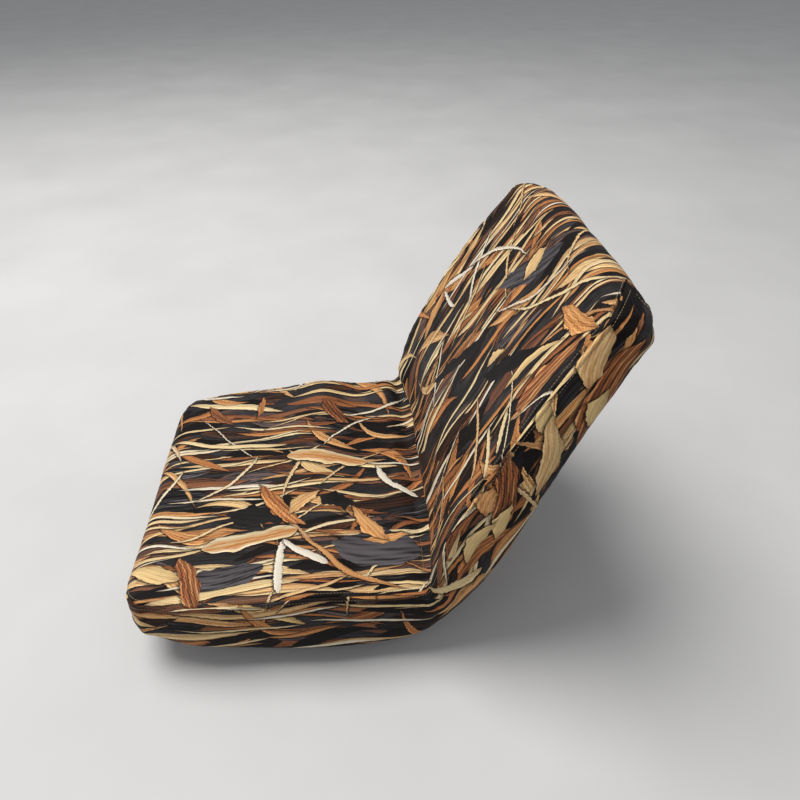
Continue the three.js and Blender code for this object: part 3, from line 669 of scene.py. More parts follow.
def blade_group():
    """One layer of blades: every cell of a slanted grid holds one blade, bent and tapered at random."""
    floats = ("U", "V", "Angle", "Cell width", "Cell length", "Half width", "Chance", "Bend", "Lean",
              "Taper", "Seed")
    tree, n, given = new_group("reed_blades", floats=floats, outputs=BLADE_OUTPUTS)
    u, v = given["U"], given["V"]
    # turn the cloth by the slant, and cut it into columns and, each from its own height, into cells
    cosine = n.math("COSINE", given["Angle"])
    sine = n.math("SINE", given["Angle"])
    x = n.minus(n.times(u, cosine), n.times(v, sine))
    y = n.times_plus(u, sine, n.times(v, cosine))
    x = n.plus(n.over(x, given["Cell width"]), given["Seed"])
    column = n.math("FLOOR", x)
    stagger = random_one(n, n.times_plus(column, 1.37, given["Seed"]))
    y = n.times_plus(stagger, 9.0, n.over(y, given["Cell length"]))
    row = n.math("FLOOR", y)
    cell = n.times_plus(column, 7.31, n.times_plus(row, 0.619, given["Seed"]))
    # random numbers of the cell: bend, lean, width, place, shape, whether it is there, and colour
    draws = [random_one(n, n.plus(cell, 0.113 * k)) for k in range(7)]
    local_x = n.minus(n.math("FRACT", x), 0.5)
    local_y = n.times_plus(n.math("FRACT", y), 2.0, -1.0)
    square = n.times(local_y, local_y)
    curve = n.times(n.minus(draws[0], 0.5), given["Bend"])
    lean = n.times(n.minus(draws[1], 0.5), given["Lean"])
    shift = n.times_plus(curve, n.minus(square, 0.4), n.times(lean, local_y))
    offset = n.times_plus(draws[3], 0.3, -0.15)
    local_x = n.plus(n.plus(local_x, shift), offset)
    # half the blade's width here: pointed at both ends, and fullest somewhere near its middle
    skew = n.plus(local_y, n.times_plus(draws[4], 0.7, -0.35))
    taper = n.minus(1.0, n.math("POWER", n.size(local_y), given["Taper"]))
    belly = n.minus(1.0, n.times(n.times(skew, skew), 0.3))
    wide = n.times(given["Half width"], n.times_plus(draws[2], 0.6, 0.4))
    wide = n.times(wide, n.times(taper, belly))
    # the blade, and the shadow that shows past its edge on one side
    gap = n.times(n.minus(wide, n.size(local_x)), given["Cell width"])
    there = n.math("LESS_THAN", draws[5], given["Chance"])
    mask = n.times(n.remap(gap, 0.0, EDGE_BLUR), there)
    side_x = n.size(n.minus(local_x, n.over(1.0 * MM, given["Cell width"])))
    side_gap = n.times(n.minus(wide, side_x), given["Cell width"])
    shadow = n.times(n.remap(side_gap, -2.6 * MM, 0.4 * MM), there)
    across = n.over(local_x, n.math("MAXIMUM", wide, 0.005))
    streak = fibres(n, across, local_y, n.times(draws[6], 57.0))
    finish_group(n, BLADE_OUTPUTS, (mask, shadow, across, local_y, draws[6], streak))
    return tree


def leaf_group():
    """One leaf at a given place: Along is 1 at its tip, and Across is 1 at its edge."""
    tree, n, given = new_group(
        "reed_leaf",
        floats=("U", "V", "Centre U", "Centre V", "Along U", "Along V", "Across U", "Across V",
                "Half width", "Bend", "Taper", "Ragged", "Pick"),
        outputs=BLADE_OUTPUTS,
    )
    # where this place lies along and across the leaf, which bends into an arc
    right = n.minus(given["U"], given["Centre U"])
    ahead = n.minus(given["V"], given["Centre V"])
    dot = {}
    for key in ("Along", "Across"):
        dot[key] = n.times_plus(right, given[key + " U"], n.times(ahead, given[key + " V"]))
    square = n.times(dot["Along"], dot["Along"])
    side = n.times_plus(given["Bend"], n.minus(square, 0.4), dot["Across"])
    straight = n.over(side, given["Half width"])
    # its ragged edge: two waves that push it sideways, and notch it where they meet
    torn = n.math("SINE", n.times_plus(dot["Along"], 4.3, n.times(given["Pick"], 91.0)))
    ragged = n.math("SINE", n.times_plus(dot["Along"], 11.0, n.times(given["Pick"], 37.0)))
    wobble = n.times_plus(ragged, 0.11, n.times(torn, 0.17))
    wobble = n.times(wobble, given["Ragged"])
    side = n.times_plus(wobble, given["Half width"], side)
    notch = n.times(n.times(ragged, torn), n.times(given["Ragged"], 0.2))
    notch = n.plus(notch, 0.9)
    # half its width here, from its taper, its fuller end and its notches
    taper = n.minus(1.0, n.math("POWER", n.size(dot["Along"]), given["Taper"]))
    swell = n.times_plus(dot["Along"], n.minus(given["Pick"], 0.5), 1.0)
    swell = n.math("MAXIMUM", swell, 0.3)
    wide = n.times(given["Half width"], n.times(n.times(taper, swell), notch))
    mask = n.remap(n.minus(wide, n.size(side)), 0.0, EDGE_BLUR)
    shaded_side = n.size(n.minus(side, 1.2 * MM))
    shadow = n.remap(n.minus(wide, shaded_side), -3.0 * MM, 0.4 * MM)
    across = n.over(side, n.math("MAXIMUM", wide, LEAST_WIDTH))
    streak = fibres(n, straight, dot["Along"], n.times(given["Pick"], 57.0))
    finish_group(n, BLADE_OUTPUTS, (mask, shadow, across, dot["Along"], given["Pick"], streak))
    return tree


def shade_group():
    """Paints a blade over the colour so far, with fibres, browned tips, a rib or core, and a shadow."""
    tree, n, given = new_group(
        "reed_shade",
        colours=("Under", "Base", "Rib", "Core", "Shadow colour"),
        floats=("Mask", "Shadow", "Across", "Along", "Streak", "Round", "Streak strength", "Tip strength",
                "Rib strength", "Core strength", "Shadow strength"),
        colour_outputs=("Colour",),
    )
    # lighter towards one edge, and streaked by its fibres
    lit = n.times_plus(given["Across"], given["Round"], 0.88)
    fibre = n.times_plus(n.minus(given["Streak"], 0.5), given["Streak strength"], 1.0)
    tone = n.times(lit, fibre)
    grey = n.node("ShaderNodeCombineColor", {0: tone, 1: tone, 2: tone}).outputs[0]
    colour = n.mix(1.0, given["Base"], grey, "MULTIPLY")
    tip = n.remap(n.size(given["Along"]), 0.55, 1.0)
    colour = n.mix(n.times(tip, given["Tip strength"]), colour, RED_BROWN)
    rib = n.remap(n.size(given["Across"]), 0.03, 0.10, 1.0, 0.0)
    colour = n.mix(n.times(rib, given["Rib strength"]), colour, given["Rib"])
    inner = n.remap(n.size(n.minus(given["Across"], 0.1)), 0.4, 0.8, 1.0, 0.0)
    inner = n.times(inner, n.remap(given["Streak"], 0.20, 0.50))
    colour = n.mix(n.times(inner, given["Core strength"]), colour, given["Core"])
    dark = n.times(given["Shadow"], given["Shadow strength"])
    under = n.mix(dark, given["Under"], given["Shadow colour"])
    finish_group(n, ("Colour",), (n.mix(given["Mask"], under, colour),))
    return tree


def group_outputs(n, group, values):
    made = n.tree.nodes.new("ShaderNodeGroup")
    made.node_tree = group
    for key, value in values.items():
        n.put(made.inputs[key], value)
    return made.outputs


def blades(n, group, cloth, layer, share):
    """The outputs of one layer of blades; sizes are in millimetres and the angle in degrees."""
    return group_outputs(n, group, {
        "U": cloth[0],
        "V": cloth[1],
        "Angle": math.radians(layer["angle"]),
        "Cell width": layer["width"] * MM,
        "Cell length": layer["length"] * MM,
        "Half width": layer["half"],
        "Chance": layer["chance"] * share,
        "Bend": layer.get("bend", 0.5),
        "Lean": layer.get("lean", 0.6),
        "Taper": layer.get("taper", 4.0),
        "Seed": layer["seed"],
    })


def leaf(n, group, cloth, origin, ends, style):
    """The outputs of one leaf laid from its foot to its tip, in millimetres on its panel."""
    foot_u, foot_v, tip_u, tip_v, width, bend, pick = ends
    foot = np.array([foot_u, foot_v]) * MM + origin
    tip = np.array([tip_u, tip_v]) * MM + origin
    half_length = np.linalg.norm(tip - foot) / 2
    along = (tip - foot) / 2 / half_length
    centre = (foot + tip) / 2
    return group_outputs(n, group, {
        "U": cloth[0],
        "V": cloth[1],
        "Centre U": centre[0],
        "Centre V": centre[1],
        "Along U": along[0] / half_length,
        "Along V": along[1] / half_length,
        "Across U": along[1],
        "Across V": -along[0],
        "Half width": width * MM / 2,
        "Bend": bend * MM,
        "Taper": style.get("taper", 3.0),
        "Ragged": style.get("ragged", 1.0),
        "Pick": pick,
    })


def shade(n, group, out, under, style):
    """Paints the blades or the leaf of one style over the colour so far."""
    stops = [(i / max(len(style["colours"]) - 1, 1), c) for i, c in enumerate(style["colours"])]
    wander = n.times_plus(out["Streak"], style.get("mottle", 1.1), -0.5 * style.get("mottle", 1.1))
    values = {key: out[key] for key in ("Mask", "Shadow", "Across", "Along", "Streak")}
    values.update({
        "Under": under,
        "Base": n.ramp(n.plus(out["Random"], wander), stops),
        "Rib": style.get("rib", BLACK),
        "Rib strength": 0.35 if "rib" in style else 0.0,
        "Core": style.get("core", BLACK),
        "Core strength": 1.0 if "core" in style else 0.0,
        "Shadow colour": BLACK,
        "Shadow strength": style.get("shadow", 0.85),
        "Round": style.get("round", 0.20),
        "Streak strength": style.get("streak", 0.9),
        "Tip strength": style.get("tip", 0.45),
    })
    return group_outputs(n, group, values)["Colour"]


# Blades strewn over the cloth, from the bottom up: the dark ground, then broad leaves, then thin reeds.
# Each cell of a layer is width by length millimetres and holds one blade with the given chance.
# angle is the blades' slant in degrees, and half is their half width as a share of the cell.
GROUND_LAYERS = [
    dict(angle=-3, width=38, length=190, half=0.42, chance=0.60, seed=1.1, shadow=0.4, streak=1.5,
         colours=[BLACK, DARK_BROWN, MAUVE, RED_BROWN]),
    dict(angle=7, width=62, length=120, half=0.40, chance=0.50, seed=2.3, streak=2.4, shadow=0.3,
         colours=[BLACK, CHARCOAL, SLATE, MAUVE], taper=3, bend=0.4),
    dict(angle=2, width=30, length=150, half=0.34, chance=0.62, seed=3.7,
         colours=[DARK_BROWN, RED_BROWN, RUST, MAUVE]),
    dict(angle=-6, width=46, length=130, half=0.36, chance=0.62, seed=4.9, shadow=0.0,
         colours=[BLACK, BLACK, CHARCOAL], streak=0.4, tip=0.0),
]
# Broad leaves in browner tones, laid mostly on the side bands: their brown is partly print and partly
# painted shade of the sides.
BOLD_LAYERS = [
    dict(angle=-22, width=66, length=118, half=0.22, chance=0.60, seed=31.3,
         bend=0.5, taper=1.7, lean=0.9, colours=[RED_BROWN, RUST, ORANGE, STRAW], rib=TAN),
    dict(angle=10, width=58, length=128, half=0.23, chance=0.55, seed=33.1,
         bend=0.6, taper=1.7, lean=0.8, colours=[RED_BROWN, RUST, ORANGE, PALE], rib=RUST),
    dict(angle=4, width=56, length=110, half=0.36, chance=0.85, seed=35.7, shadow=0.0, taper=3, lean=0.8,
         colours=[BLACK, BLACK, DARK_BROWN], streak=0.3, tip=0.0),
    dict(angle=-8, width=40, length=105, half=0.15, chance=0.50, seed=37.9, bend=0.5, taper=1.9, lean=1.0,
         colours=[RUST, ORANGE, PALE]),
]
LIGHT_LAYERS = [
    dict(angle=-38, width=60, length=104, half=0.17, chance=0.50, seed=6.1, bend=0.9, taper=2,
         colours=[RED_BROWN, RUST, ORANGE], rib=RED_BROWN),
    dict(angle=5, width=34, length=170, half=0.22, chance=0.66, seed=7.3, lean=0.8,
         colours=[RUST, ORANGE, TAN, STRAW, CREAM], rib=RUST),
    dict(angle=-5, width=28, length=200, half=0.18, chance=0.62, seed=8.9, lean=0.7,
         colours=[RUST, TAN, STRAW, CREAM]),
    dict(angle=-1, width=38, length=120, half=0.32, chance=0.50, seed=13.9, shadow=0.0,
         colours=[BLACK, BLACK, DARK_BROWN], streak=0.3, tip=0.0),
    dict(angle=31, width=64, length=112, half=0.17, chance=0.46, seed=10.7, bend=1.0, taper=2,
         colours=[RUST, ORANGE, TAN, STRAW], rib=RUST),
    dict(angle=9, width=24, length=140, half=0.16, chance=0.50, seed=12.1,
         colours=[RED_BROWN, RUST, ORANGE]),
    dict(angle=1, width=25, length=170, half=0.15, chance=0.60, seed=15.3, lean=0.7,
         colours=[TAN, STRAW, CREAM, STALK], tip=0.5),
    dict(angle=-10, width=34, length=130, half=0.10, chance=0.50, seed=16.7, lean=0.8,
         colours=[TAN, CREAM, STALK]),
    dict(angle=-52, width=70, length=120, half=0.045, chance=0.46, seed=19.9, taper=6, bend=0.5,
         colours=[TAN, CREAM, STALK], tip=0.2),
    dict(angle=42, width=76, length=150, half=0.038, chance=0.46, seed=21.3, taper=6, bend=0.6,
         colours=[RUST, TAN, STALK], tip=0.2),
]

LEAF_STYLES = {
    "gap": dict(colours=[BLACK, CHARCOAL], streak=0.3, tip=0.0, shadow=0.0, mottle=0.4),
    "slate": dict(colours=[BLACK, CHARCOAL, SLATE, SLATE], streak=0.7, tip=0.0, shadow=0.0, mottle=1.1,
                  ragged=0.4),
    "brown leaf": dict(colours=[DARK_BROWN, RED_BROWN, RUST, TAN], taper=2.5, rib=DARK_BROWN, ragged=0.6),
    "rust leaf": dict(colours=[RED_BROWN, RUST, ORANGE, TAN], taper=2.0, rib=RED_BROWN, ragged=0.6),
    "orange leaf": dict(colours=[RUST, ORANGE, APRICOT, TAN], taper=2.0, tip=0.6, streak=0.6, ragged=0.6),
    "straw leaf": dict(colours=[ORANGE, TAN, STRAW, PALE], taper=2.0, streak=0.55, ragged=0.5,
                       mottle=0.8),
    "cream blade": dict(colours=[TAN, STRAW, CREAM, CREAM], taper=5.0, streak=0.5, ragged=0.4),
    "white blade": dict(colours=[TAN, STALK, STALK, STALK], taper=6.0, streak=0.4, tip=0.15, mottle=0.8,
                        ragged=0.3),
    "cattail": dict(colours=[STRAW, CREAM, STALK], taper=7.0, core=CATTAIL, tip=0.2, streak=0.5,
                    shadow=1.0, ragged=0.45),
}

# The print's largest motifs on each panel: style, then foot (u, v), tip (u, v), width and bend in
# millimetres from the panel's own origin, and which of the style's colours it leans to, from 0 to 1.
SEAT_MOTIFS = [
    ("slate", (135, 385, 145, 510, 62, 4, 0.7)),
    ("slate", (178, 205, 168, 300, 44, 4, 0.6)),
    ("gap", (68, 235, 74, 335, 36, 4, 0.3)),
    ("gap", (45, 368, 62, 420, 30, 4, 0.3)),
    ("cream blade", (-93, 125, -72, 317, 9, 3, 0.6)),
    ("cream blade", (204, 150, 188, 350, 14, -4, 0.4)),
    ("brown leaf", (-183, 175, -130, 222, 17, 4, 0.4)),
    ("rust leaf", (-198, 268, -145, 264, 11, -3, 0.4)),
    ("brown leaf", (-166, 370, -120, 412, 26, 4, 0.3)),
    ("rust leaf", (10, 278, 104, 345, 27, 7, 0.45)),
    ("straw leaf", (72, 322, 28, 366, 25, -6, 0.3)),
    ("brown leaf", (132, 184, 226, 226, 27, -4, 0.5)),
    ("straw leaf", (146, 112, 174, 194, 26, 6, 0.7)),
    ("orange leaf", (122, 494, 130, 428, 16, -4, 0.5)),
    ("orange leaf", (66, 414, 134, 462, 27, 5, 0.6)),
    ("white blade", (-12, 450, 56, 514, 10, 6, 0.5)),
    ("rust leaf", (112, 336, 224, 474, 11, 10, 0.7)),
    ("white blade", (122, 319, 212, 321, 12, 2, 0.6)),
    ("white blade", (124, 318, 170, 382, 12, 5, 0.7)),
    ("cream blade", (142, 112, 120, 222, 6, 3, 0.4)),
    ("cattail", (122, 210, 106, 340, 29, 2, 0.55)),
    ("cattail", (-47, 316, -22, 440, 26, -2, 0.45)),
]
BACK_MOTIFS = [
    ("gap", (60, 225, 150, 330, 26, 5, 0.3)),
    ("gap", (-60, 120, 20, 260, 24, 5, 0.3)),
    ("slate", (-40, 300, 30, 400, 40, 5, 0.6)),
    ("brown leaf", (178, 368, 174, 255, 24, -3, 0.6)),
    ("straw leaf", (152, 343, 124, 252, 14, 5, 0.75)),
    ("orange leaf", (112, 358, 186, 380, 28, 6, 0.4)),
    ("straw leaf", (-7, 384, 1, 338, 24, 4, 0.5)),
    ("straw leaf", (66, 274, 55, 238, 11, 3, 0.6)),
    ("rust leaf", (-188, 220, -164, 126, 24, 4, 0.8)),
    ("white blade", (-142, 278, -191, 212, 8, 3, 0.6)),
    ("white blade", (-184, 208, -124, 215, 8, 2, 0.6)),
    ("cream blade", (30, 300, 138, 436, 5, 12, 0.6)),
    ("cream blade", (146, 210, 208, 186, 9, 2, 0.7)),
    ("cream blade", (160, 246, 194, 212, 9, 2, 0.6)),
]
SIDE_MOTIFS = [
    ("gap", (60, 800, 80, 700, 40, 5, 0.3)),
    ("gap", (14, 740, 30, 640, 22, 5, 0.3)),
    ("brown leaf", (34, 890, 60, 760, 34, 6, 0.5)),
    ("brown leaf", (8, 730, 44, 620, 26, -5, 0.4)),
    ("rust leaf", (54, 640, 30, 530, 20, 5, 0.3)),
    ("straw leaf", (-2, 888, 26, 822, 27, 5, 0.4)),
    ("straw leaf", (5, 800, 22, 764, 21, 3, 0.9)),
    ("straw leaf", (42, 830, 62, 784, 25, 4, 0.9)),
    ("straw leaf", (20, 790, 58, 690, 20, -5, 0.5)),
    ("orange leaf", (8, 680, 18, 640, 24, 4, 0.6)),
    ("straw leaf", (34, 672, 48, 616, 17, 3, 0.95)),
    ("straw leaf", (34, 640, 32, 566, 18, 4, 0.8)),
    ("cream blade", (1, 480, 58, 568, 11, 6, 0.5)),
]


def shifted(n, points, place, stretch, detail, reach):
    """points moved about by noise over place: stretch is how fine it is, and reach how far it moves."""
    wander = n.noise(n.scale(place, stretch), 1.0, detail, "Color")
    centred = n.vectors("SUBTRACT", wander, (0.5, 0.5, 0.5))
    return n.vectors("ADD", points, n.scale(centred, reach))


def reed_print(name, groups, origin, motifs, light, bold):
    """Printed polyester: dry reeds, leaves and cattails over a dark ground, along the cloth's grain.

    light and bold scale how many blades of LIGHT_LAYERS and BOLD_LAYERS there are.
    """
    material, n = new_material(name)
    place = n.node("ShaderNodeAttribute", attribute_name="grain").outputs["Vector"]
    bent = shifted(n, place, place, (14.0, 7.0, 1.0), 1.0, (32 * MM, 12 * MM, 0.0))
    cloth = shifted(n, bent, place, (380.0, 70.0, 1.0), 2.0, (2.4 * MM, 6 * MM, 0.0))
    patches = n.noise(n.scale(cloth, (26.0, 12.0, 1.0)), 1.0, 2.0)
    streaks = n.noise(n.scale(cloth, (900.0, 40.0, 1.0)), 1.0, 2.0)
    ground = n.ramp(patches, [(0.40, BLACK), (0.52, SOOT), (0.60, CHARCOAL), (0.72, MAUVE)])
    colour = n.mix(n.remap(streaks, 0.45, 0.75, 0.0, 0.5), ground, SLATE)
    strewn_blade, placed_leaf, paint = groups
    split = n.node("ShaderNodeSeparateXYZ", {0: cloth}).outputs
    for layers, share in ((GROUND_LAYERS, 1.0), (BOLD_LAYERS, bold), (LIGHT_LAYERS, light)):
        for layer in layers:
            if share > 0:
                drawn = blades(n, strewn_blade, split, layer, share)
                colour = shade(n, paint, drawn, colour, layer)
    for style_name, ends in motifs:
        style = LEAF_STYLES[style_name]
        drawn = leaf(n, placed_leaf, split, origin, ends, style)
        colour = shade(n, paint, drawn, colour, style)
    faded = n.noise(n.scale(place, (60.0, 60.0, 1.0)), 1.0, 3.0)
    colour = n.mix(n.remap(faded, 0.3, 0.8, 0.0, 0.02), colour, FADED)
    threads = n.node("ShaderNodeSeparateXYZ", {0: place}).outputs
    warp = n.math("SINE", n.times(threads[0], THREAD_WAVES))
    weft = n.math("SINE", n.times(threads[1], THREAD_WAVES))
    weave = n.times(warp, weft)
    crumple = n.noise(n.scale(place, (220.0, 150.0, 1.0)), 1.0, 3.0)
    height = n.plus(n.times(weave, 0.12), n.times(crumple, 0.9))
    roughness = n.remap(faded, 0.3, 0.7, 0.50, 0.66)
    finish_material(n, colour, roughness, height, 0.35, 0.0006, Sheen_Weight=0.02, Sheen_Roughness=0.4,
                    Specular_IOR_Level=0.08)
    return material


# ---------------------------------------------------------------- stitching
STITCH_PITCH = 4.0 * MM
STITCH_LENGTH = 3.1 * MM
THREAD_RADIUS = 0.32 * MM


def stitches(name, lines):
    """Rows of single stitches along lines of (points, normals), all in one mesh."""
    shares = np.array([0.0, 0.12, 0.5, 0.88, 1.0])
    lifts = np.array([-0.45, 0.12, 0.22, 0.12, -0.45]) * MM
    radii = np.array([0.6, 1.0, 1.0, 1.0, 0.6]) * THREAD_RADIUS
    sides = 6
    angles = np.arange(sides) * 2 * math.pi / sides
    vertices, faces = [], []
    for points, normals in lines:
        run = lengths(points, 0)
        for start in np.arange(STITCH_PITCH, run[-1] - STITCH_PITCH, STITCH_PITCH):
            wanted = start + shares * STITCH_LENGTH
            centre = np.stack([np.interp(wanted, run, points[:, k]) for k in range(3)], axis=-1)
            up = unit(np.stack([np.interp(wanted, run, normals[:, k]) for k in range(3)], axis=-1))
            centre = centre + up * lifts[:, None]
            out = unit(np.cross(centre[-1] - centre[0], up[2]))
            offset = len(vertices)
            for middle, top, radius in zip(centre, up, radii):
                for angle in angles:
                    vertices.append(middle + radius * (math.cos(angle) * out + math.sin(angle) * top))
            faces.extend(grid_faces(len(shares), sides, offset, flip=True, wrap=True).tolist())
            last = offset + (len(shares) - 1) * sides
            faces.append([offset + k for k in range(sides)])
            faces.append([last + k for k in reversed(range(sides))])
    return new_object(name, vertices, faces)


# ---------------------------------------------------------------- foam pads
BOSS_HALF_X = 105 * MM
BOSS_FRONT = -105 * MM
BOSS_REAR = 92 * MM
BOSS_RAMP = 26 * MM
BOSS_REAR_RAMP = 14 * MM
BOSS_LEVEL = 36.8 * MM
FOAM_TIP = QUARTER * 0.9  # how far round the front end and the top end the pads reach
FOAM_SUNK = 3.6 * MM  # how far the foam lies under the cover's outside, on the sitting face
FOAM_SIDE_SUNK = 9.0 * MM


def flatten_boss(points):
    """Brings the underside down to the flat boss over the swivel."""
    x, y = np.abs(points[..., 0]), points[..., 1]
    share = 1 - smoothstep(x, BOSS_HALF_X, BOSS_HALF_X + BOSS_RAMP)
    share = share * (1 - smoothstep(y, BOSS_REAR, BOSS_REAR + BOSS_REAR_RAMP))
    share = share * smoothstep(y, BOSS_FRONT - BOSS_RAMP, BOSS_FRONT)
    flat = points.copy()
    flat[..., 2] = lerp(points[..., 2], BOSS_LEVEL, share)
    return flat


def foam_pad(name, legs):
    """A moulded foam pad: rings round the section, sunk below the cover, with the crease end rounded."""
    at, turn = walk(legs, lambda a, t: surface(a, t, 0.0), False, False)
    # closely spaced where the seam's groove is pressed in, at around = 1
    half_ring = np.concatenate([
        np.linspace(0, 0.9, 28)[:-1], np.linspace(0.9, 1.12, 14)[:-1], np.linspace(1.12, 2, 26)[:-1],
        np.linspace(2, 3, 24),
    ])
    ring = np.concatenate([half_ring, -half_ring[-2:0:-1]])
    side = np.abs(ring)[None, :]
    on_face = surface(at, turn, 0.0)
    crease_point = surface(CREASE, 0.0, 0.0)
    from_crease = np.linalg.norm(on_face - crease_point, axis=-1)[:, None]
    depth = lerp(FOAM_SUNK, FOAM_SIDE_SUNK, smoothstep(side, 1.12, 1.3))
    depth = depth + 2.4 * MM * np.exp(-(((side - 1) / 0.035) ** 2))
    depth = depth + 13 * MM * np.exp(-((from_crease / (9 * MM)) ** 1.4)) * (side < 1.02)
    cells = 0.25 * MM * noise(side * 80, at[:, None] * 300, 91)
    points = surface(at[:, None], turn[:, None], ring[None, :], depth + cells)
    points = np.where((side >= 2)[..., None], flatten_boss(points), points)
    rows, columns = points.shape[:2]
    vertices = list(points.reshape(-1, 3)) + [points[0].mean(axis=0), points[-1].mean(axis=0)]
    faces = grid_faces(rows, columns, wrap=True).tolist()
    first_hub, last_hub = rows * columns, rows * columns + 1
    last = (rows - 1) * columns
    for k in range(columns):
        n = (k + 1) % columns
        faces.append([first_hub, n, k])
        faces.append([last_hub, last + k, last + n])
    return new_object(name, vertices, faces)


# ---------------------------------------------------------------- hem
HEM_PLACES = 620
HEM_SIDES = 14
ELASTIC_SIDES = 10
ELASTIC_RADIUS = 1.9 * MM


def hem_line():
    """The hem's centre line: a rounded rectangle just under the cover, evenly spaced."""
    half, front, rear = hem_outline()
    outline = []
    for quarter, x in enumerate((half, -half, -half, half)):
        centre_y = rear - HEM_CORNER if quarter < 2 else front + HEM_CORNER
        centre = np.array([x - math.copysign(HEM_CORNER, x), centre_y])
        for angle in np.linspace(quarter, quarter + 1, 16) * QUARTER:
            outline.append(centre + HEM_CORNER * np.array([math.cos(angle), math.sin(angle)]))
    outline = np.array(outline + outline[:1])
    run = lengths(outline, 0)
    wanted = np.linspace(0, run[-1], HEM_PLACES + 1)[:-1]
    flat = np.stack([np.interp(wanted, run, outline[:, k]) for k in range(2)], axis=-1)
    station = np.linspace(0.0, 0.5, 400)
    rim = stations(station)[1]
    under = np.interp(flat[:, 1], rim[:, 0], rim[:, 1])
    return np.column_stack([flat, under - HEM_DROP]), wanted


def carried_ring(name, line, section):
    """A closed tube along a closed line; section(i) gives (outward, up) pairs for each place."""
    along = unit(np.roll(line, -1, axis=0) - np.roll(line, 1, axis=0))
    outward = unit(np.cross(along, [0, 0, 1.0]))
    up = np.cross(outward, along)
    rings = np.array([
        [line[i] + a * outward[i] + b * up[i] for a, b in section(i)] for i in range(len(line))
    ])
    rings = np.concatenate([rings, rings[:1]])
    rows, columns = rings.shape[:2]
    faces = grid_faces(rows, columns, flip=True, wrap=True)
    faces = np.where(faces >= (rows - 1) * columns, faces - (rows - 1) * columns, faces)
    return new_object(name, rings[:-1].reshape(-1, 3), faces)


def round_section(sides, radius):
    """(outward, up) pairs round a section whose radius depends on the corner's number and angle."""
    pairs = []
    for k, angle in enumerate(np.arange(sides) * 2 * math.pi / sides):
        pairs.append((radius(k, angle) * math.cos(angle), radius(k, angle) * math.sin(angle)))
    return pairs


def gathered_hem():
    """The hem's casing, drawn up into small pleats by the elastic inside it."""
    line, run = hem_line()

    def section(i):
        pleat = noise(run[i] / (5 * MM), 0.0, 61)
        second = noise(run[i] / (2.4 * MM), 3.0, 62)

        def radius(k, angle):
            return HEM_RADIUS * (0.92 + 0.14 * pleat + 0.08 * second * math.sin(2 * angle + k))

        return round_section(HEM_SIDES, radius)

    return carried_ring("cover_hem_casing", line, section)


def braided_elastic():
    """The round elastic cord inside the hem, with the ridges of its braid."""
    line, run = hem_line()

    def section(i):
        def radius(_, angle):
            return ELASTIC_RADIUS * (1 + 0.05 * math.sin(run[i] / (0.7 * MM) + 5 * angle))

        return round_section(ELASTIC_SIDES, radius)

    return carried_ring("hem_elastic_cord", line, section)


# ---------------------------------------------------------------- plainer materials
def foam_material():
    material, n, place = solid_material("open_cell_foam")
    cells = n.node("ShaderNodeTexVoronoi", {"Vector": place, "Scale": 700.0}).outputs["Distance"]
    stain = n.noise(place, 9.0, 3.0)
    colour = n.ramp(stain, [(0.3, (0.62, 0.48, 0.26)), (0.7, (0.74, 0.62, 0.38))])
    # The pores are darker towards their middles, where the bump sinks them: painted shade in the pores.
    colour = n.mix(n.remap(cells, 0.0, 0.5, 0.5, 0.0), colour, (0.30, 0.21, 0.10))
    finish_material(n, colour, n.remap(stain, 0.3, 0.7, 0.85, 0.98), cells, 0.5, 0.0006)
    return material


def tape_material(name, dark, light, weave_scale):
    """Woven tape, cord or thread: a diagonal rib in two close tones."""
    material, n, place = solid_material(name)
    rib = n.node("ShaderNodeTexWave", {"Vector": place, "Scale": weave_scale, "Distortion": 1.5,
                                       "Detail": 1.0}, bands_direction="DIAGONAL").outputs["Fac"]
    wear = n.noise(place, 60.0, 3.0)
    colour = n.mix(rib, dark, light)
    colour = n.mix(n.remap(wear, 0.4, 0.8, 0.0, 0.35), colour, tuple(min(1.0, 1.8 * c) for c in light))
    finish_material(n, colour, n.remap(wear, 0.3, 0.7, 0.75, 0.92), rib, 0.4, 0.0004, Sheen_Weight=0.2)
    return material


def shell_material():
    material, n, place = solid_material("moulded_plastic")
    grain = n.noise(place, 900.0, 3.0)
    scuff = n.noise(n.scale(place, (30.0, 90.0, 40.0)), 1.0, 4.0)
    colour = n.ramp(scuff, [(0.35, (0.018, 0.019, 0.021)), (0.75, (0.040, 0.041, 0.044))])
    roughness = n.remap(scuff, 0.3, 0.75, 0.42, 0.66)
    finish_material(n, colour, roughness, grain, 0.25, 0.0003)
    return material


def coated_steel_material():
    material, n, place = solid_material("powder_coated_steel")
    peel = n.noise(place, 420.0, 2.0)
    wear = n.noise(place, 35.0, 5.0)
    edge = n.node("ShaderNodeNewGeometry").outputs["Pointiness"]
    worn = n.times(n.remap(edge, 0.54, 0.62), n.remap(wear, 0.42, 0.6))
    colour = n.ramp(wear, [(0.3, (0.022, 0.023, 0.026)), (0.7, (0.034, 0.035, 0.038))])
    colour = n.mix(worn, colour, (0.36, 0.35, 0.34))
    finish_material(n, colour, n.remap(wear, 0.3, 0.7, 0.34, 0.5), peel, 0.2, 0.0003, Metallic=0.35)
    return material


def zinc_material():
    material, n, place = solid_material("zinc_plated_steel")
    clouds = n.noise(place, 140.0, 4.0)
    brushed = n.noise(n.scale(place, (300.0, 300.0, 2600.0)), 1.0, 2.0)
    dull, bright, yellowed = (0.46, 0.47, 0.50), (0.62, 0.63, 0.64), (0.58, 0.56, 0.48)
    colour = n.ramp(clouds, [(0.3, dull), (0.55, bright), (0.75, yellowed)])
    finish_material(n, colour, n.remap(clouds, 0.3, 0.7, 0.24, 0.42), brushed, 0.12, 0.0002, Metallic=1.0)
    return material


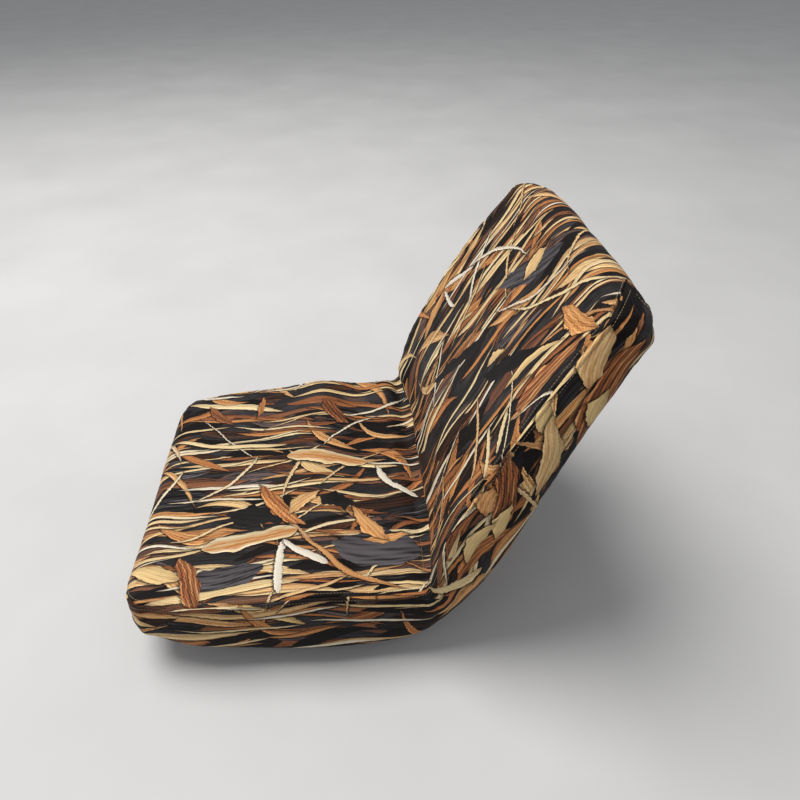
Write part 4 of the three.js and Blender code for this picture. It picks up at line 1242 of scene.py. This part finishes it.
def ball_material():
    material, n, place = solid_material("polished_ball_steel")
    film = n.noise(place, 260.0, 2.0)
    colour = n.ramp(film, [(0.3, (0.70, 0.71, 0.73)), (0.7, (0.84, 0.84, 0.85))])
    finish_material(n, colour, n.remap(film, 0.3, 0.7, 0.08, 0.2), film, 0.03, 0.0001, Metallic=1.0)
    return material


# ---------------------------------------------------------------- assembly
def dress(piece, material, body="seat"):
    piece.data.materials.clear()
    piece.data.materials.append(material)
    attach(piece, body)
    return piece


# Where each panel starts on the endless printed cloth, so that no two panels show the same piece of it.
PRINT_ORIGIN = {"seat": (0.0, 0.0), "back": (0.6, 0.9), "side": (1.7, 0.3), "far side": (2.6, 0.5),
                "flap": (3.4, 0.0), "far flap": (3.9, 0.2)}
# Where the cover stands fuller than the foam, as humps() takes them.
SEAT_HUMPS = [
    (-200 * MM, 368 * MM, 42 * MM, 34 * MM, 9 * MM),
    (-196 * MM, 478 * MM, 40 * MM, 26 * MM, 15 * MM),
]
BACK_HUMPS = [
    (-190 * MM, 42 * MM, 35 * MM, 26 * MM, 10 * MM),
    (165 * MM, 700 * MM, 70 * MM, 95 * MM, 8 * MM),
]


def build_cover(cloths, thread):
    """Every panel with its topstitching: panel name to (panel, piece, stitches)."""
    origin = PRINT_ORIGIN
    seat_legs = [(HEM_FRONT, math.pi), (0.0, math.pi), (0.0, 0.0), (CREASE, 0.0)]
    back_legs = [(CREASE, 0.0), (1.0, 0.0), (1.0, math.pi), (HEM_BACK, math.pi)]
    panels = [
        ("seat", face_panel("cover_seat_face", seat_legs, False, origin["seat"], SEAT_HUMPS, 11)),
        ("back", face_panel("cover_back_face", back_legs, True, origin["back"], BACK_HUMPS, 23)),
        ("side", side_panel("cover_side_band_left", 1, origin["side"], 37)),
        ("side", side_panel("cover_side_band_right", -1, origin["far side"], 41)),
        ("side", under_flap("cover_under_flap_left", 1, origin["flap"], 53)),
        ("side", under_flap("cover_under_flap_right", -1, origin["far flap"], 59)),
    ]
    pieces = {}
    for cloth, panel in panels:
        piece = dress(panel.build(), cloths[cloth])
        lines = [panel.line(STITCH_LINE, edge) for edge in panel.seam_rows]
        sewn = dress(stitches(panel.name + "_topstitch", lines), thread)
        pieces[panel.name] = (panel, piece, sewn)
    return pieces


print_groups = (blade_group(), leaf_group(), shade_group())
cloths = {
    "seat": reed_print("reed_print_seat", print_groups, PRINT_ORIGIN["seat"], SEAT_MOTIFS, 0.8, 0.0),
    "back": reed_print("reed_print_back", print_groups, PRINT_ORIGIN["back"], BACK_MOTIFS, 0.74, 0.25),
    # The side bands get fewer light blades and more bold ones, so they print browner and darker than the
    # seat: partly the bolder print there, partly painted shade of the upright sides.
    "side": reed_print("reed_print_side", print_groups, PRINT_ORIGIN["side"], SIDE_MOTIFS, 0.45, 0.75),
}
thread = tape_material("tan_sewing_thread", (0.16, 0.11, 0.055), (0.30, 0.22, 0.12), 2200.0)
tape = tape_material("binding_tape", (0.020, 0.017, 0.013), (0.045, 0.038, 0.030), 900.0)
rubber = tape_material("elastic_braid", (0.05, 0.05, 0.05), (0.14, 0.14, 0.13), 1100.0)
foam = foam_material()
shell_plastic = shell_material()
plate_steel = coated_steel_material()
zinc = zinc_material()
ball_steel = ball_material()

seat_pad = foam_pad("seat_foam_pad", [(0.0, FOAM_TIP), (0.0, 0.0), (CREASE - FOAM_GAP, 0.0)])
back_pad = foam_pad("back_foam_pad", [(CREASE + FOAM_GAP, 0.0), (1.0, 0.0), (1.0, FOAM_TIP)])
for pad, node in ((seat_pad, "seat_foam"), (back_pad, "back_foam")):
    dress(pad, foam)
    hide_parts(node)

cover = build_cover(cloths, thread)
hem = dress(gathered_hem(), tape)
elastic = dress(braided_elastic(), rubber)
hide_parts("cover_hem")
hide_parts("hem_elastic")
STANDS_FOR = {
    "cover_seat_face": "cover_seat_panel",
    "cover_back_face": "cover_back_panel",
    "cover_side_band_left": "cover_side_panel_left",
    "cover_side_band_right": "cover_side_panel_right",
}
for name, (panel, piece, sewn) in cover.items():
    if name in STANDS_FOR:
        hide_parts(STANDS_FOR[name])

finishes = {
    "seat_shell": shell_plastic,
    "swivel_upper_plate": plate_steel,
    "swivel_lower_plate": plate_steel,
}
for name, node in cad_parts.items():
    finish = finishes.get(name, ball_steel if name.startswith("bearing_ball") else zinc)
    node.data.materials.clear()
    node.data.materials.append(finish)


# ---------------------------------------------------------------- floor, lights and camera
FLOOR_REACH = 16.0
LIGHT_TARGET = (0, 0.05, 0.15)
WORLD_COLOUR = (0.97, 0.98, 1.0)
WORLD_STRENGTH = 0.38
LENS = 27.0  # millimetres
SENSOR = 36.0  # millimetres across
CAMERA_PLACE = (0.657, 0.0565, 0.7636)
CAMERA_AIM = (-0.3205, 0.1377, 0.0)
CAMERA_ROLL = math.radians(-0.4)


def make_floor():
    corners = [(x * FLOOR_REACH, y * FLOOR_REACH, 0) for x, y in ((-1, -1), (1, -1), (1, 1), (-1, 1))]
    floor = new_object("floor", corners, [(0, 1, 2, 3)])
    material, n, place = solid_material("pale_floor")
    tone = n.noise(place, 3.0, 4.0)
    colour = n.ramp(tone, [(0.3, (0.50, 0.505, 0.51)), (0.7, (0.55, 0.555, 0.56))])
    finish_material(n, colour, n.remap(tone, 0.3, 0.7, 0.8, 0.9))
    floor.data.materials.append(material)


def turn_towards(place, target):
    """The rotation that points a lamp or a camera from place to target."""
    return (Vector(target) - Vector(place)).to_track_quat("-Z", "Y")


def area_light(name, place, size, power, colour=(1.0, 1.0, 1.0)):
    lamp = bpy.data.lights.new(name, "AREA")
    lamp.shape = "DISK"
    lamp.size = size
    lamp.energy = power
    lamp.color = colour
    holder = bpy.data.objects.new(name, lamp)
    bpy.context.scene.collection.objects.link(holder)
    holder.location = place
    holder.rotation_euler = turn_towards(place, LIGHT_TARGET).to_euler()


def make_world():
    world = bpy.data.worlds.new("studio")
    world.use_nodes = True
    background = world.node_tree.nodes["Background"]
    background.inputs["Color"].default_value = (*WORLD_COLOUR, 1.0)
    background.inputs["Strength"].default_value = WORLD_STRENGTH
    bpy.context.scene.world = world


def make_camera():
    lens = bpy.data.cameras.new("camera")
    lens.lens = LENS
    lens.sensor_width = SENSOR
    lens.clip_start = 0.02
    eye = bpy.data.objects.new("camera", lens)
    bpy.context.scene.collection.objects.link(eye)
    eye.location = CAMERA_PLACE
    roll = Quaternion((0, 0, 1), CAMERA_ROLL)
    eye.rotation_euler = (turn_towards(CAMERA_PLACE, CAMERA_AIM) @ roll).to_euler()
    bpy.context.scene.camera = eye


make_floor()
make_world()
area_light("key", place=(-0.64, -1.25, 3.9), size=2.6, power=190, colour=(1.0, 0.97, 0.93))
area_light("fill", place=(1.6, -1.8, 1.4), size=1.8, power=6)
make_camera()
bpy.context.scene.view_settings.view_transform = "Standard"

bpy.context.view_layer.update()
